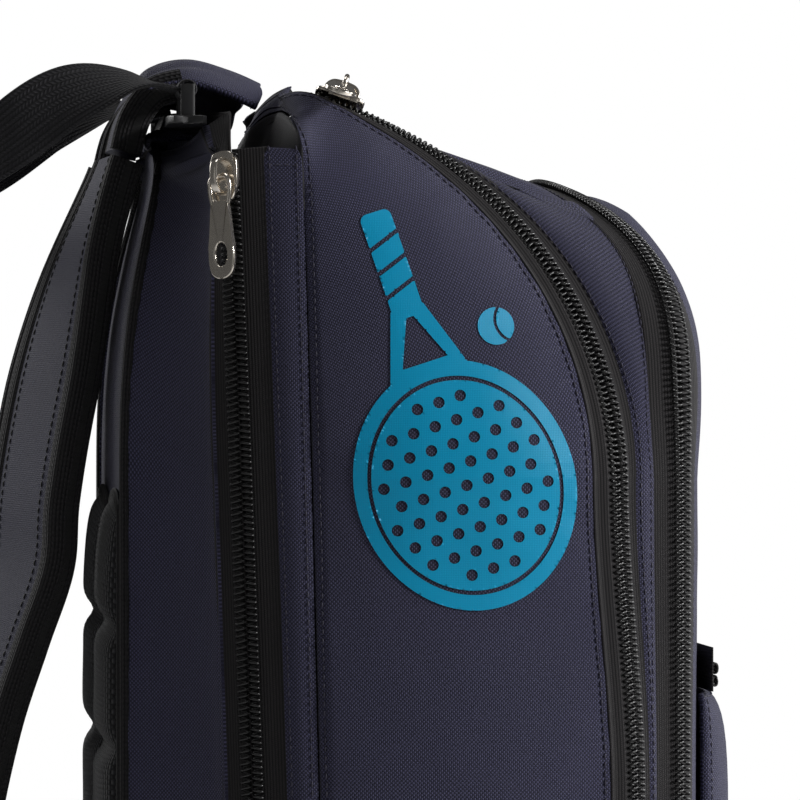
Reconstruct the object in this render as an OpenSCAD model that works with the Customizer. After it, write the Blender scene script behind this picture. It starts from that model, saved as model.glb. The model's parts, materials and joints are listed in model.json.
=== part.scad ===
// Racket backpack: a soft, zipped bag that stands on its base, with a racket sleeve
// behind the main compartment, a front compartment, a front pocket, two padded
// shoulder straps and a webbing grab handle.
// Millimetres. +Z is up, +Y is the wearer's side, X is left and right, and the
// origin lies on the floor under the middle of the base.

/* [Body] */
// Height of the main compartment's top
body_h = 503; // [460:1:560]
// Greatest half width of the bag, at the side seam
half_w = 153; // [135:1:185]
// Half width at the main zip
main_zip_half_w = 140; // [125:1:170]
// Half width at the front zip
front_zip_half_w = 124; // [105:1:145]
// Half width at the edge of the back face
back_half_w = 112; // [95:1:135]
// Height of the base tray
base_h = 95; // [75:1:115]
// How far the base tray's edge is rounded
base_round = 14; // [8:1:20]
// How far the side panels bulge
side_bulge = 9; // [4:1:14]

/* [Depth] */
// Back face, from the middle of the base
back_y = 106; // [96:1:120]
// Side zip at mid height
side_zip_y = 65; // [58:1:72]
// Side seam at mid height
seam_y = 42; // [36:1:46]
// Main zip on the sides
main_zip_y = -61; // [-70:1:-54]
// How much further forward the main zip stands low down
main_zip_belly = 6; // [0:1:10]
// Front zip on the sides
front_zip_y = -88; // [-100:1:-84]
// How far the front panel bulges past its own edge
front_bulge = 10; // [6:1:16]

/* [Fabric] */
// Thickness of a padded panel
panel_t = 4; // [2.5:0.5:6]
// Thickness of the divider panels
divider_t = 5; // [3:0.5:8]
// Thickness of the black lining
lining_t = 1.5; // [1:0.5:2.5]
// Gap between two zipped parts' panels at the base seam
seam_gap = 1; // [0.6:0.1:2]

/* [Zips] */
// Half width of the visible zip tape
tape_half = 11.5; // [9:0.5:14]
// Tape thickness
tape_t = 0.8; // [0.5:0.1:1.2]
// Half width of the closed coil
coil_half = 4.5; // [3.5:0.1:5.5]
// Coil height above the tape
coil_h = 2.6; // [2:0.1:3.2]
// Length of a slider's plate
slider_l = 17; // [14:0.5:20]
// Slider plate thickness
slider_t = 1.6; // [1.2:0.1:2.2]
// Wire radius of a slider's loop
loop_wire = 0.9; // [0.7:0.1:1.1]
// Inner radius of the top puller's ring
ring_r = 2.3; // [2:0.1:2.4]
// Length of a puller, from its pivot to its tip
puller_l = 36; // [28:1:44]
// Puller thickness
puller_t = 1.8; // [1.4:0.1:2.4]

/* [Straps] */
// Width of a shoulder strap's pad
strap_w = 62; // [50:1:70]
// Thickness of a shoulder strap's pad
strap_t = 11; // [8:1:14]
// Width of the webbing
webbing_w = 25; // [20:1:30]
// Webbing thickness
webbing_t = 1.6; // [1.2:0.1:2.4]
// Middle of each shoulder strap's top, from the bag's middle
strap_top_x = 57; // [52:1:62]

/* [Front pocket] */
// Half width of the front pocket
pocket_half_w = 92; // [70:1:98]
// How far the pocket's mouth lies below the start of the panel's rounded top
pocket_drop = 76; // [60:1:140]
// Height of the front pocket's bottom
pocket_bottom = 112; // [104:1:140]
// Depth of the front pocket
pocket_depth = 10; // [6:1:16]

/* [Hidden] */
$fn = 48;

// Rows of every track: up the side, round the zip's arc, round the corner, across the top.
rows_side = 9;
rows_arc = 14;
rows_corner = 4;
rows_top = 5;
rows = rows_side + rows_arc + rows_corner + rows_top;

floor_z = base_h + seam_gap;        // lowest edge of every zipped panel
side_top_z = body_h - 16;           // where the side zips and plackets end
side_r = 2000;                      // the sides' long curve, seen from the front
side_mid_z = 230;                   // its widest height
arc_r = 140;                        // the main zip's arc, in its own leaning plane
arc_lean = 15.4;                    // how far that plane leans inward
arc_y = main_zip_y + arc_r;         // the arc's centre
arc_z = body_h - 131;
arc_end = 72.4;                     // the arc's turn, from upright to the corner
main_cross_y = 41;                  // where the main zip crosses the top
seam_cross_y = 51;                  // the seam's place at the top
back_edge_y = back_y - 38;                   // the back part's front edge at the top's ends
handle_gap_y = back_y - 18;                  // and at its middle, where racket handles come out
front_top_y = -52;                  // where the front zip crosses the top
front_top_z = body_h - 25;
front_round_z = body_h - 103;       // where the front zip starts to curve back
back_lean = 14;                     // how far the back face's top leans forward
board_part = 0.84;                  // size of the base board over the base
fit = 0.3;                          // gap between parts that move apart
wall_tilt = 52;                     // how far the main zip's rear tape turns outward
rim_turn = 45;                      // how far the front zip's panel tape turns round the corner
front_face_y = front_zip_y - tape_half * cos(rim_turn) - front_bulge;

navy = [0.14, 0.14, 0.22];
black = [0.05, 0.05, 0.05];
metal = [0.75, 0.7, 0.62];

function clamp(t) = min(max(t, 0), 1);
function smooth(t) = let (c = clamp(t)) c * c * (3 - 2 * c);
function lerp(a, b, t) = a + (b - a) * t;
function unit(v) = v / max(norm(v), 1e-9);
function flip(p) = [-p[0], p[1], p[2]];
function bezier(a, b, c, d, t) =
    a * pow(1 - t, 3) + b * 3 * t * pow(1 - t, 2) + c * 3 * t * t * (1 - t) + d * pow(t, 3);

// Inward set of the bag's sides at height z.
function side_in(z) = side_r - sqrt(side_r * side_r - pow(z - side_mid_z, 2));
function side_zip_at(z) = [-(half_w - 7) + side_in(z), side_zip_y + (z - 330) * 0.033, z];
function seam_at(z) = [-half_w + side_in(z), seam_y + (z - 330) * 0.02, z];
function back_at(z) = [-back_half_w + side_in(z) * 0.8, back_y - back_lean * smooth((z - 400) / 90), z];
function main_side_at(z) =
    [-main_zip_half_w, main_zip_y - main_zip_belly * smooth((arc_z - z) / 110), z];
function main_arc_at(a) = let (q = arc_r * sin(a))
    [-main_zip_half_w + q * sin(arc_lean), arc_y - arc_r * cos(a), arc_z + q * cos(arc_lean)];

// Row heights: rows_side steps up to the arc's start, then rows_arc up to the side zips' end.
function side_z(i) = lerp(floor_z, arc_z, i / rows_side);
function arc_row_z(i) = lerp(arc_z, side_top_z, (i - rows_side) / rows_arc);

// A track over the top, from the end of its side to the bag's middle.
function over_top(p, d, mid, y_mid, i) =
    let (k = i - rows_side - rows_arc, end = p + [mid, 0, 0])
    k <= rows_corner
        ? bezier(p, p + d * 9, [p[0] + 11, lerp(p[1], y_mid, 0.6), body_h - 3],
                 [p[0] + 30, y_mid, body_h - 1], k / rows_corner)
        : let (t = (k - rows_corner) / rows_top)
          [lerp(p[0] + 30, 0, t), y_mid, body_h - 1 + 2 * sin(90 * t)];

function seam_row(i) = i <= rows_side ? seam_at(side_z(i))
    : i <= rows_side + rows_arc ? seam_at(arc_row_z(i))
    : over_top(seam_at(side_top_z), [0.12, 0.05, 1], 0, seam_cross_y, i);
function side_zip_row(i) = i <= rows_side ? side_zip_at(side_z(i))
    : i <= rows_side + rows_arc ? side_zip_at(arc_row_z(i))
    : over_top(side_zip_at(side_top_z), [0.12, 0.05, 1], 0, back_edge_y, i);
// The back part's front edge leaves room for racket handles in the middle.
function back_front_row(i) = let (p = side_zip_row(i))
    p + [0, (handle_gap_y - back_edge_y) * smooth((95 + p[0]) / 45), 0];
function back_row(i) = i <= rows_side ? back_at(side_z(i))
    : let (t = (i - rows_side) / (rows - rows_side), a = 90 * t,
           top = body_h - 9, w = back_half_w - side_in(arc_z) * 0.8)
      [-w * pow(cos(a), 0.62), back_y - back_lean * smooth(t * 1.4),
       lerp(arc_z, top, pow(sin(a), 0.72))];
function main_row(i) = i <= rows_side ? main_side_at(side_z(i))
    : i <= rows_side + rows_arc ? main_arc_at(arc_end * (i - rows_side) / rows_arc)
    : let (p = main_arc_at(arc_end), q = main_arc_at(arc_end - 1), d = unit(p - q),
           k = i - rows_side - rows_arc, c = [p[0] + 14, main_cross_y, body_h - 2])
      k <= rows_corner ? bezier(p, p + d * 5, c - [7, 0, 0], c, k / rows_corner)
      : let (t = (k - rows_corner) / rows_top)
        [lerp(c[0], 0, t), main_cross_y, body_h - 2 + 1.5 * sin(90 * t)];
function front_row(i) = i <= rows_side ? [-front_zip_half_w, front_zip_y, side_z(i)]
    : let (a = 90 * (i - rows_side) / (rows - rows_side),
           z = lerp(arc_z, front_top_z, pow(sin(a), 0.8)))
      [-front_zip_half_w * pow(cos(a), 0.8),
       lerp(front_zip_y, front_top_y,
            pow(clamp((z - front_round_z) / (front_top_z - front_round_z)), 3.4)), z];

// A whole track, from the left foot over the top to the right foot.
function whole(half) =
    concat(half, [for (i = [len(half) - 2 : -1 : 0]) flip(half[i])]);
seam = whole([for (i = [0 : rows]) seam_row(i)]);
side_zip = whole([for (i = [0 : rows]) side_zip_row(i)]);
back_front = whole([for (i = [0 : rows]) back_front_row(i)]);
back_edge = whole([for (i = [0 : rows]) back_row(i)]);
main_zip = whole([for (i = [0 : rows]) main_row(i)]);
front_zip = whole([for (i = [0 : rows]) front_row(i)]);

function along(track, i) = unit(track[min(i + 1, len(track) - 1)] - track[max(i - 1, 0)]);
// Unit vector at row i across the surface, from track a towards track b.
function across(a, b, i) = let (t = along(a, i), v = b[i] - a[i]) unit(v - t * (v * t));
// The track a moved towards b by d, turned outward by tilt.
function beside(a, b, d, tilt = 0) = [for (i = [0 : len(a) - 1])
    let (c = across(a, b, i), out = cross(c, along(a, i)) * sign_out(a, b))
    a[i] + (c * cos(tilt) + out * sin(tilt)) * d];
// 1 where b lies in front of a, and -1 where it lies behind: the outward side of cross().
function sign_out(a, b) = b[rows][1] < a[rows][1] ? 1 : -1;

// Grid of points between two tracks, bulging outward in the middle by up to b.
function band(a, b, cols, bulge) = [for (i = [0 : len(a) - 1])
    let (out = unit(cross(b[i] - a[i], along(a, i))) * sign_out(a, b),
         h = min(bulge, norm(b[i] - a[i]) * 0.12))
    [for (j = [0 : cols]) let (v = j / cols) lerp(a[i], b[i], v) + out * h * 4 * v * (1 - v)]];

function cell_normal(g, i, j, s) =
    let (n = len(g) - 1, m = len(g[0]) - 1,
         u = g[min(i + 1, n)][j] - g[max(i - 1, 0)][j],
         v = g[i][min(j + 1, m)] - g[i][max(j - 1, 0)])
    unit(cross(v, u)) * s;
// The same grid, set inward by t. s is the outward side of cross(across, along).
function inset(g, t, s) = [for (i = [0 : len(g) - 1]) [for (j = [0 : len(g[0]) - 1])
    g[i][j] - cell_normal(g, i, j, s) * t]];

// Closed solid between two grids of the same size. s is 1 where the first is outside.
module slab(outer, inner, s = 1) {
    n = len(outer);
    m = len(outer[0]);
    points = concat([for (r = outer) each r], [for (r = inner) each r]);
    k = n * m;
    function quad(a, b, c, d) = s > 0 ? [a, b, c, d] : [d, c, b, a];
    faces = concat(
        [for (i = [0 : n - 2]) for (j = [0 : m - 2])
            quad(i * m + j, (i + 1) * m + j, (i + 1) * m + j + 1, i * m + j + 1)],
        [for (i = [0 : n - 2]) for (j = [0 : m - 2])
            quad(k + i * m + j, k + i * m + j + 1, k + (i + 1) * m + j + 1, k + (i + 1) * m + j)],
        [for (j = [0 : m - 2]) quad(j, j + 1, k + j + 1, k + j)],
        [for (j = [0 : m - 2]) let (r = (n - 1) * m)
            quad(r + j + 1, r + j, k + r + j, k + r + j + 1)],
        [for (i = [0 : n - 2]) quad((i + 1) * m, i * m, k + i * m, k + (i + 1) * m)],
        [for (i = [0 : n - 2]) let (r = m - 1)
            quad(i * m + r, (i + 1) * m + r, k + (i + 1) * m + r, k + i * m + r)]);
    polyhedron(points = points, faces = [for (f = faces) each [[f[0], f[1], f[2]], [f[0], f[2], f[3]]]],
               convexity = 6);
}

// Panel between two tracks, with its thickness inward.
module panel(a, b, cols, bulge, t) {
    s = sign_out(a, b);
    g = band(a, b, cols, bulge);
    slab(g, inset(g, t, s), s);
}
function part_of(track, i0, i1) = [for (i = [i0 : i1]) track[i]];

// One side of a zip's tape, and of its coil, from track a towards track b.
module tape_side(a, b, i0 = 0, i1 = 2 * rows, tilt = 0) {
    s = sign_out(a, b);
    near = beside(a, b, fit + 0.2, tilt);
    far = beside(a, b, tape_half - 0.2, tilt);
    g = [for (i = [i0 : i1]) [near[i], far[i]]];
    slab(g, inset(g, tape_t, s), s);
}
// One half of a zip's coil. own and other give the directions of the two tapes at row i, g is
// 1 when the own half lies forward, and lift raises it where the tapes meet in a valley.
module coil_side(a, own, other, g, lift = 0, i0 = 0, i1 = 2 * rows) {
    level = function (h) [for (i = [i0 : i1])
        let (f = slider_frame(a[i], along(a, i), own(i), other(i), g))
        [a[i] + f[1] * fit + f[3] * (lift + h), a[i] + f[1] * coil_half + f[3] * (lift + h)]];
    slab(level(coil_h + 0.1), level(0.1), g);
}
// Slider frame at o on a track running along t: own and other point across to each half,
// g is 1 when the own half lies forward.
function slider_frame(o, t, own, other, g) =
    let (x = unit(own - other), z = unit(cross(x, t)) * g) [o, x, cross(z, x), z];
to_seam_side = function (i) across(side_zip, seam, i);
to_back_side = function (i) across(side_zip, back_edge, i);
to_front_side = function (i) across(main_zip, front_zip, i);
to_gusset_side = function (i) across(front_zip, main_zip, i);
to_wall_side = function (i) across(main_zip, seam, i) * cos(wall_tilt)
    + cross(across(main_zip, seam, i), along(main_zip, i)) * -sin(wall_tilt);
// Height of the main zip's coil and sliders over the valley between its tapes.
valley_lift = (coil_half + 3 * fit + 1.2) * tan(wall_tilt / 2);

// Panel from a track to its own mirror image, rows i0 to i1. s is 1 for a face turned
// forward; bulge follows the row's place between the ends.
function ladder(a, i0, i1, cols, bulge, s) = [for (i = [i0 : i1])
    let (t = along(a, i), m = unit([0, t[1], max(t[2], 0.05)]),
         n = unit(cross([1, 0, 0], m)) * s,
         h = bulge * pow(clamp((i1 + 0.5 - i) / 7), 0.7))
    [for (j = [0 : cols]) let (v = j / cols)
        lerp(a[i], flip(a[i]), v) + n * h * (1 - pow(abs(2 * v - 1), 3))]];
module ladder_panel(a, i0, i1, cols, bulge, s, t) {
    g = ladder(a, i0, i1, cols, bulge, s);
    slab(g, inset(g, t, s), s);
}

// Frame of the front panel's tilted edge: inward along its face, and its outward normal.
function front_slope(z) = let (q = clamp((z - front_round_z) / (front_top_z - front_round_z)))
    (front_top_y - front_zip_y) * 3.4 * pow(q, 2.4) / (front_top_z - front_round_z);
function front_inward(i) =
    unit(cross(along(front_zip, i), unit([0, -1, front_slope(front_zip[i][2])])));
function rim(d) = [for (i = [0 : 2 * rows])
    let (c = -across(front_zip, main_zip, i), e = front_inward(i))
    front_zip[i] + unit(c * cos(rim_turn) + e * sin(rim_turn)) * d];
to_rim_side = function (i) rim(1)[i] - front_zip[i];
front_edge = rim(tape_half);
module rim_slab(d0, d1, top, bottom) {
    a = rim(d0);
    b = rim(d1);
    g = [for (i = [0 : 2 * rows]) [a[i], b[i]]];
    slab(inset(g, -top, 1), inset(g, -bottom, 1), 1);
}

// Smooth path through a list of points, k steps between neighbours.
function path_point(p, i, t) = let (n = len(p) - 1,
    a = p[max(i - 1, 0)], b = p[i], c = p[min(i + 1, n)], d = p[min(i + 2, n)])
    0.5 * (2 * b + (c - a) * t + (2 * a - 5 * b + 4 * c - d) * t * t
           + (3 * b - a - 3 * c + d) * t * t * t);
function smooth_path(p, k) = concat(
    [for (i = [0 : len(p) - 2]) for (s = [0 : k - 1]) path_point(p, i, s / k)],
    [p[len(p) - 1]]);

// Solid of rings with the same number of points, closed at both ends. The rings run
// anticlockwise as seen from the last ring, looking back to the first.
module sweep(rings) {
    n = len(rings);
    m = len(rings[0]);
    polyhedron(points = [for (r = rings) each r], faces = concat(
        [[for (j = [0 : m - 1]) j]], [[for (j = [0 : m - 1]) (n - 1) * m + m - 1 - j]],
        [for (i = [0 : n - 2]) for (j = [0 : m - 1]) let (k = (j + 1) % m)
            each [[i * m + j, (i + 1) * m + j, (i + 1) * m + k],
                  [i * m + j, (i + 1) * m + k, i * m + k]]]), convexity = 6);
}
// Rings of a flat bar w wide and t thick along a path; side i points across it.
function bar_rings(path, sides, w, t) = [for (i = [0 : len(path) - 1])
    let (d = unit(path[min(i + 1, len(path) - 1)] - path[max(i - 1, 0)]),
         s = unit(sides[i] - d * (sides[i] * d)), n = cross(d, s))
    [path[i] - s * w / 2 - n * t / 2, path[i] + s * w / 2 - n * t / 2,
     path[i] + s * w / 2 + n * t / 2, path[i] - s * w / 2 + n * t / 2]];

// ---- Bag body ----
module main_side_wall() color(navy)
    panel(seam, beside(main_zip, seam, tape_half, wall_tilt), 8, side_bulge, panel_t);

module divider_panel() color(navy)
    ladder_panel([for (p = part_of(seam, 0, rows_side + rows_arc + rows_corner))
                  [p[0] + panel_t + 1.8, p[1] + 2.5, p[2] - panel_t * smooth((p[2] - arc_z) / 100)]],
                 0, rows_side + rows_arc + rows_corner, 8, 0, -1, divider_t);

module racket_top_lining() color(black) {
    i0 = rows_side + rows_arc - 2;
    a = [for (i = [i0 : 2 * rows - i0]) seam[i] + [0, 0.4, -1]];
    g = [for (p = a) [p, [p[0] * 0.95, p[1] + 12, p[2] - 30]]];
    slab(g, inset(g, lining_t, -1), -1);
}

module both_sides() {
    children();
    mirror([1, 0, 0]) children();
}
module plackets() color(navy)
    both_sides() {
        far = beside(side_zip, seam, tape_half);
        g = [for (i = [0 : rows_side + rows_arc])
             [far[i], lerp(far[i], seam[i], 0.5) + [-1.2, 0, 0], seam[i] + [0, 0.4, 0]]];
        slab(g, inset(g, panel_t, 1), 1);
    }
module side_zip_body_tapes() color(black)
    both_sides() tape_side(side_zip, seam, 0, rows_side + rows_arc);
module side_zip_body_coils() color(black)
    both_sides() coil_side(side_zip, to_seam_side, to_back_side, 1, 0, 0, rows_side + rows_arc);
module main_zip_body_tape() color(black) tape_side(main_zip, seam, tilt = wall_tilt);
module main_zip_body_coil() color(black)
    coil_side(main_zip, to_wall_side, to_front_side, -1, valley_lift);

// The base's outline at its top edge, from the middle of the front round to the back.
outline_half = smooth_path([
    [0, front_face_y, 0], [-front_zip_half_w * 0.45, front_face_y + 0.5, 0],
    [front_edge[0][0] + 4, front_edge[0][1] - 3, 0], [front_zip[0][0] - 2, front_zip[0][1], 0],
    [main_zip[0][0] - 7, main_zip[0][1], 0], [seam[0][0] - side_bulge + 2, -15, 0],
    [seam[0][0], seam[0][1], 0], [side_zip[0][0], side_zip[0][1], 0],
    [lerp(side_zip[0][0], back_edge[0][0], 0.6), lerp(side_zip[0][1], back_y, 0.68), 0],
    [back_edge[0][0], back_y, 0], [-back_half_w * 0.5, back_y, 0], [0, back_y, 0]], 3);
outline = concat(outline_half, [for (i = [len(outline_half) - 2 : -1 : 1]) flip(outline_half[i])]);
// Points of the outline set inward by d, at height z.
function outline_in(d, z) = let (n = len(outline)) [for (i = [0 : n - 1])
    let (t = unit(outline[(i + 1) % n] - outline[(i + n - 1) % n]))
    [outline[i][0] + t[1] * d, outline[i][1] - t[0] * d, z]];
module base_tray() color(navy) {
    steps = 4;
    outer = concat([outline_in(0, base_h), outline_in(0, base_h * 0.6)],
        [for (k = [0 : steps]) let (a = 90 * k / steps)
            outline_in(base_round * (1 - cos(a)), base_round * (1 - sin(a)))]);
    inner = concat(
        [for (k = [steps : -1 : 0]) let (a = 90 * k / steps)
            outline_in(panel_t + base_round * (1 - cos(a)), panel_t + base_round * (1 - sin(a)))],
        [outline_in(panel_t, base_h * 0.6), outline_in(panel_t, base_h)]);
    rings = concat(outer, inner);
    n = len(outline);
    half = len(outer);
    total = len(rings);
    strip = function (i, k) [for (j = [0 : n - 1]) let (q = (j + 1) % n)
        each [[i * n + j, k * n + q, i * n + q], [i * n + j, k * n + j, k * n + q]]];
    polyhedron(points = [for (r = rings) each r], faces = concat(
        [for (i = [0 : half - 2]) each strip(i, i + 1)],
        [[for (j = [n - 1 : -1 : 0]) (half - 1) * n + j]],
        [[for (j = [0 : n - 1]) half * n + j]],
        [for (i = [half : total - 2]) each strip(i, i + 1)],
        strip(total - 1, 0)), convexity = 6);
}
module base_board() color(black) translate([0, 0, panel_t + fit]) linear_extrude(3)
    polygon([for (p = outline_in(0, 0)) [p[0] * board_part, p[1] * board_part]]);

// ---- Back panel ----
module back_side_band() color(navy)
    panel(beside(back_front, back_edge, tape_half), back_edge, 4, 3, panel_t);
module back_face() color(navy)
    ladder_panel([for (p = part_of(back_edge, 0, rows - 1)) p + [panel_t * 0.4, -0.2, 0]],
                 0, rows - 1, 6, 0, -1, panel_t);
module side_zip_back_tapes() color(black) tape_side(back_front, back_edge);
module side_zip_back_coils() color(black)
    both_sides() coil_side(side_zip, to_back_side, to_seam_side, -1, 0, 0, rows_side + rows_arc);

// Soft pad on the back face: a cushion over a rectangle, corners drawn in.
module back_cushion(x0, x1, z0, z1, t) {
    n = 10;
    flat = [for (i = [0 : n]) [for (j = [0 : n]) let (u = 2 * i / n - 1, v = 2 * j / n - 1)
        [(x0 + x1) / 2 + v * sqrt(1 - u * u * 0.12) * (x1 - x0) / 2, back_y + fit,
         (z0 + z1) / 2 + u * sqrt(1 - v * v * 0.12) * (z1 - z0) / 2]]];
    puffy = [for (i = [0 : n]) [for (j = [0 : n]) let (u = 2 * i / n - 1, v = 2 * j / n - 1)
        flat[i][j] + [0, 1 + (t - 1) * pow((1 - pow(abs(u), 6)) * (1 - pow(abs(v), 4)), 0.5), 0]]];
    slab(puffy, flat, -1);
}
module back_pad_left() color(navy) back_cushion(-97, -14, 188, 366, 8);
module back_pad_right() color(navy) mirror([1, 0, 0]) back_pad_left();
module lumbar_pad() color(navy) back_cushion(-84, 84, 124, 176, 7);

// Soft hood over the racket opening, sewn to the top of the back panel.
handle_x = strap_top_x + (strap_w - 8) / 2 + 5 * fit + webbing_w / 2;
yoke_half_w = handle_x - webbing_w / 2 - 2;
yoke_line = smooth_path([[0, back_y - 51, 9], [0, back_y - 40, 14], [0, back_y - 26, 17.5],
    [0, back_y - 13, 14], [0, back_y - 7, 4]], 3);
module strap_yoke() color(navy) {
    g = [for (p = yoke_line) [for (j = [0 : 12]) let (v = j / 6 - 1)
        [v * yoke_half_w, p[1] + 3 * v * v * v * v, body_h - 1 + p[2] - 9 * pow(abs(v), 5)
            + 0.7 * sin(900 * v) * (p[1] > back_y - 36 ? 1 : 0)]]];
    slab(inset(g, 0, 1), inset(g, 4.5, 1), -1);
}

// ---- Straps ----
strap_foot_z = 118;                 // height of the webbing's lower end
function strap_z(part) = lerp(strap_foot_z, body_h, part);
strap_path = smooth_path([
    [-strap_top_x, back_y, strap_z(0.953)], [-strap_top_x - 1, back_y + 13, strap_z(0.855)],
    [-strap_top_x - 3, back_y + 24, strap_z(0.733)], [-strap_top_x - 4, back_y + 30, strap_z(0.642)],
    [-strap_top_x - 4, back_y + 32, strap_z(0.579)], [-strap_top_x - 5, back_y + 41, strap_z(0.509)],
    [-strap_top_x - 8, back_y + 51, strap_z(0.429)], [-strap_top_x - 12, back_y + 59, strap_z(0.327)],
    [-strap_top_x - 17, back_y + 60, strap_z(0.229)]], 3);
function strap_side(i) = let (a = 4 + 16 * smooth(i / 6)) [-cos(a), -sin(a), 0];
strap_anchor = [-100, back_y + 6, strap_foot_z];
function frame_ring(path, i, side, pts) =
    let (d = along(path, i), s = unit(side - d * (side * d)), n = cross(d, s))
    [for (p = pts) path[i] + s * p[0] + n * p[1]];
function oval(w, h, k, e) = [for (j = [0 : k - 1]) let (c = cos(360 * j / k), q = sin(360 * j / k))
    [sign(c) * pow(abs(c), e) * w / 2, sign(q) * pow(abs(q), e) * h / 2]];
function moved(pts, d) = [for (p = pts) p + d];
module along_strap(pts, i0 = 0, i1 = len(strap_path) - 1)
    sweep([for (i = [i0 : i1]) frame_ring(strap_path, i, strap_side(i), pts)]);

module strap_left_pad() color(navy) along_strap(oval(strap_w - 4, strap_t, 16, 0.55));
module strap_left_mesh() color(black)
    along_strap(moved([[-strap_w / 2 + 10, -0.7], [strap_w / 2 - 10, -0.7],
                       [strap_w / 2 - 10, 0.7], [-strap_w / 2 + 10, 0.7]],
                      [0, -strap_t / 2 - 0.9]));
module strap_left_binding() color(black) {
    edge = oval(10, strap_t + 1, 10, 0.7);
    along_strap(moved(edge, [strap_w / 2 - 4.5, 0]));
    along_strap(moved(edge, [4.5 - strap_w / 2, 0]));
}
strap_end = strap_path[len(strap_path) - 1];
web_path = smooth_path([strap_end + [0, -1, -24], [-82, back_y + 50, strap_z(0.104)],
    [-92, back_y + 26, strap_z(0.042)], strap_anchor + [0, 1.5, -2]], 4);
module strap_left_webbing() color(black)
    sweep(bar_rings(web_path, [for (p = web_path) [-0.95, -0.3, 0]], webbing_w, webbing_t));
// Ladder lock: a flat frame with three bars, tilted with the strap's end.
module strap_left_buckle() color(black)
    translate(strap_end + [-0.5, 0, -14]) rotate([-4, 0, -18]) difference() {
        cube([webbing_w + 10, 4, 24], center = true);
        for (z = [-6.6, 2.2]) translate([0, 0, z]) cube([webbing_w + 2, 5, 6], center = true);
    }
module mirrored() mirror([1, 0, 0]) children();
module strap_right_pad() mirrored() strap_left_pad();
module strap_right_mesh() mirrored() strap_left_mesh();
module strap_right_binding() mirrored() strap_left_binding();
module strap_right_webbing() mirrored() strap_left_webbing();
module strap_right_buckle() mirrored() strap_left_buckle();

stub_w = strap_w - 8;
stub_path = smooth_path([[-strap_top_x, back_y - 22, body_h + 9], [-strap_top_x, back_y - 12, body_h + 6],
    [-strap_top_x, back_y - 5, body_h - 3], [-strap_top_x, back_y - 1.6, strap_z(0.961)]], 3);
module strap_stubs() color(navy) both_sides()
    sweep([for (i = [0 : len(stub_path) - 1])
           frame_ring(stub_path, i, [-1, -0.05, 0], oval(stub_w, strap_t - 1, 16, 0.55))]);
module lower_tabs() color(black) both_sides()
    translate([strap_anchor[0], back_y + 2.2, strap_anchor[2] - 8]) rotate([0, 12, 0])
        cube([webbing_w + 8, 3.6, 16], center = true);

// ---- Grab handle ----
handle_y = back_y - 22;                      // the handle's hinge line
handle_z = body_h + 6;
eye_r = 3.6;                        // outer radius of the handle's end loops
pin_r = 1.8;
module x_rod(r, l) rotate([0, 90, 0]) cylinder(r = r, h = l, center = true);
module handle_mounts() color(black) both_sides() translate([-handle_x, handle_y, handle_z]) {
    x_rod(pin_r, webbing_w + 8);
    for (x = [-1, 1]) translate([x * (webbing_w / 2 + 3), 0, -5]) cube([2, 5, 13], center = true);
    translate([0, 0, -11]) cube([webbing_w + 10, 13, 3], center = true);
}
handle_half = smooth_path([[-handle_x, handle_y + eye_r - 0.4, handle_z],
    [-handle_x - 1, handle_y + 20, handle_z + 3], [-handle_x, handle_y + 43, handle_z - 3],
    [-89, handle_y + 66, handle_z - 19], [-62, handle_y + 82, handle_z - 29],
    [-30, handle_y + 86, handle_z - 32], [0, handle_y + 87, handle_z - 33]], 4);
handle_path = concat(handle_half, [for (i = [len(handle_half) - 2 : -1 : 0]) flip(handle_half[i])]);
function handle_sides() = let (n = len(handle_path) - 1, h = n / 2) [for (i = [0 : n])
    let (q = min(i, n - i) / h, a = 88 * smooth((q - 0.1) / 0.6))
    [(i <= h ? -1 : 1) * cos(a), 0, (i <= h ? -1 : -1) * sin(a)]];
module grab_handle() color(black)
    sweep(bar_rings(handle_path, handle_sides(), webbing_w, webbing_t));
module handle_loops() color(black) both_sides() translate([-handle_x, handle_y, handle_z])
    difference() {
        x_rod(eye_r, webbing_w - 1);
        x_rod(pin_r + fit, webbing_w + 2);
    }

// ---- Front section ----
module front_gusset() color(navy)
    panel(beside(main_zip, front_zip, tape_half), beside(front_zip, main_zip, tape_half), 5, 2, panel_t);
module front_divider() color(navy) {
    a = beside(main_zip, front_zip, 6);
    i1 = rows - 2;
    ladder_panel([for (i = [0 : i1]) a[i] + [panel_t + 1.2, 0, -4.5 * smooth((i - rows_side) / 8)]],
                 0, i1, 8, 4, 1, divider_t - 2);
}
module main_zip_front_tape() color(black) tape_side(main_zip, front_zip);
module main_zip_front_coil() color(black)
    coil_side(main_zip, to_front_side, to_wall_side, 1, valley_lift);
module front_zip_gusset_tape() color(black) tape_side(front_zip, main_zip);
module front_zip_gusset_coil() color(black)
    coil_side(front_zip, to_gusset_side, to_rim_side, -1);

// ---- Front panel ----
module front_panel() color(navy)
    ladder_panel(part_of(front_edge, 0, rows - 1), 0, rows - 1, 14, front_bulge, 1, panel_t);
module front_zip_panel_tape() color(black) rim_slab(fit, tape_half - 0.2, 0, -tape_t);
module front_zip_panel_coil() color(black)
    coil_side(front_zip, to_rim_side, to_gusset_side, 1);

// Outer face of the front panel's upright part at x.
panel_half = -front_edge[0][0];
function face_y(x) = front_edge[0][1] - front_bulge * (1 - pow(abs(x) / panel_half, 3));
pocket_top = arc_z - pocket_drop;
zip_z = pocket_top + 6;
module pocket_shell() color(navy) {
    n = 10;
    m = 16;
    wall = 2.5;
    level = function (d) [for (i = [0 : n]) [for (j = [0 : m])
        let (u = 2 * i / n - 1, v = 2 * j / m - 1, x = v * pocket_half_w)
        [x, face_y(x) - fit - d - pocket_depth * sqrt((1 - pow(abs(u), 8)) * (1 - pow(abs(v), 6))),
         lerp(pocket_bottom, pocket_top, i / n)]]];
    slab(level(wall), level(0), 1);
}
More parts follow.
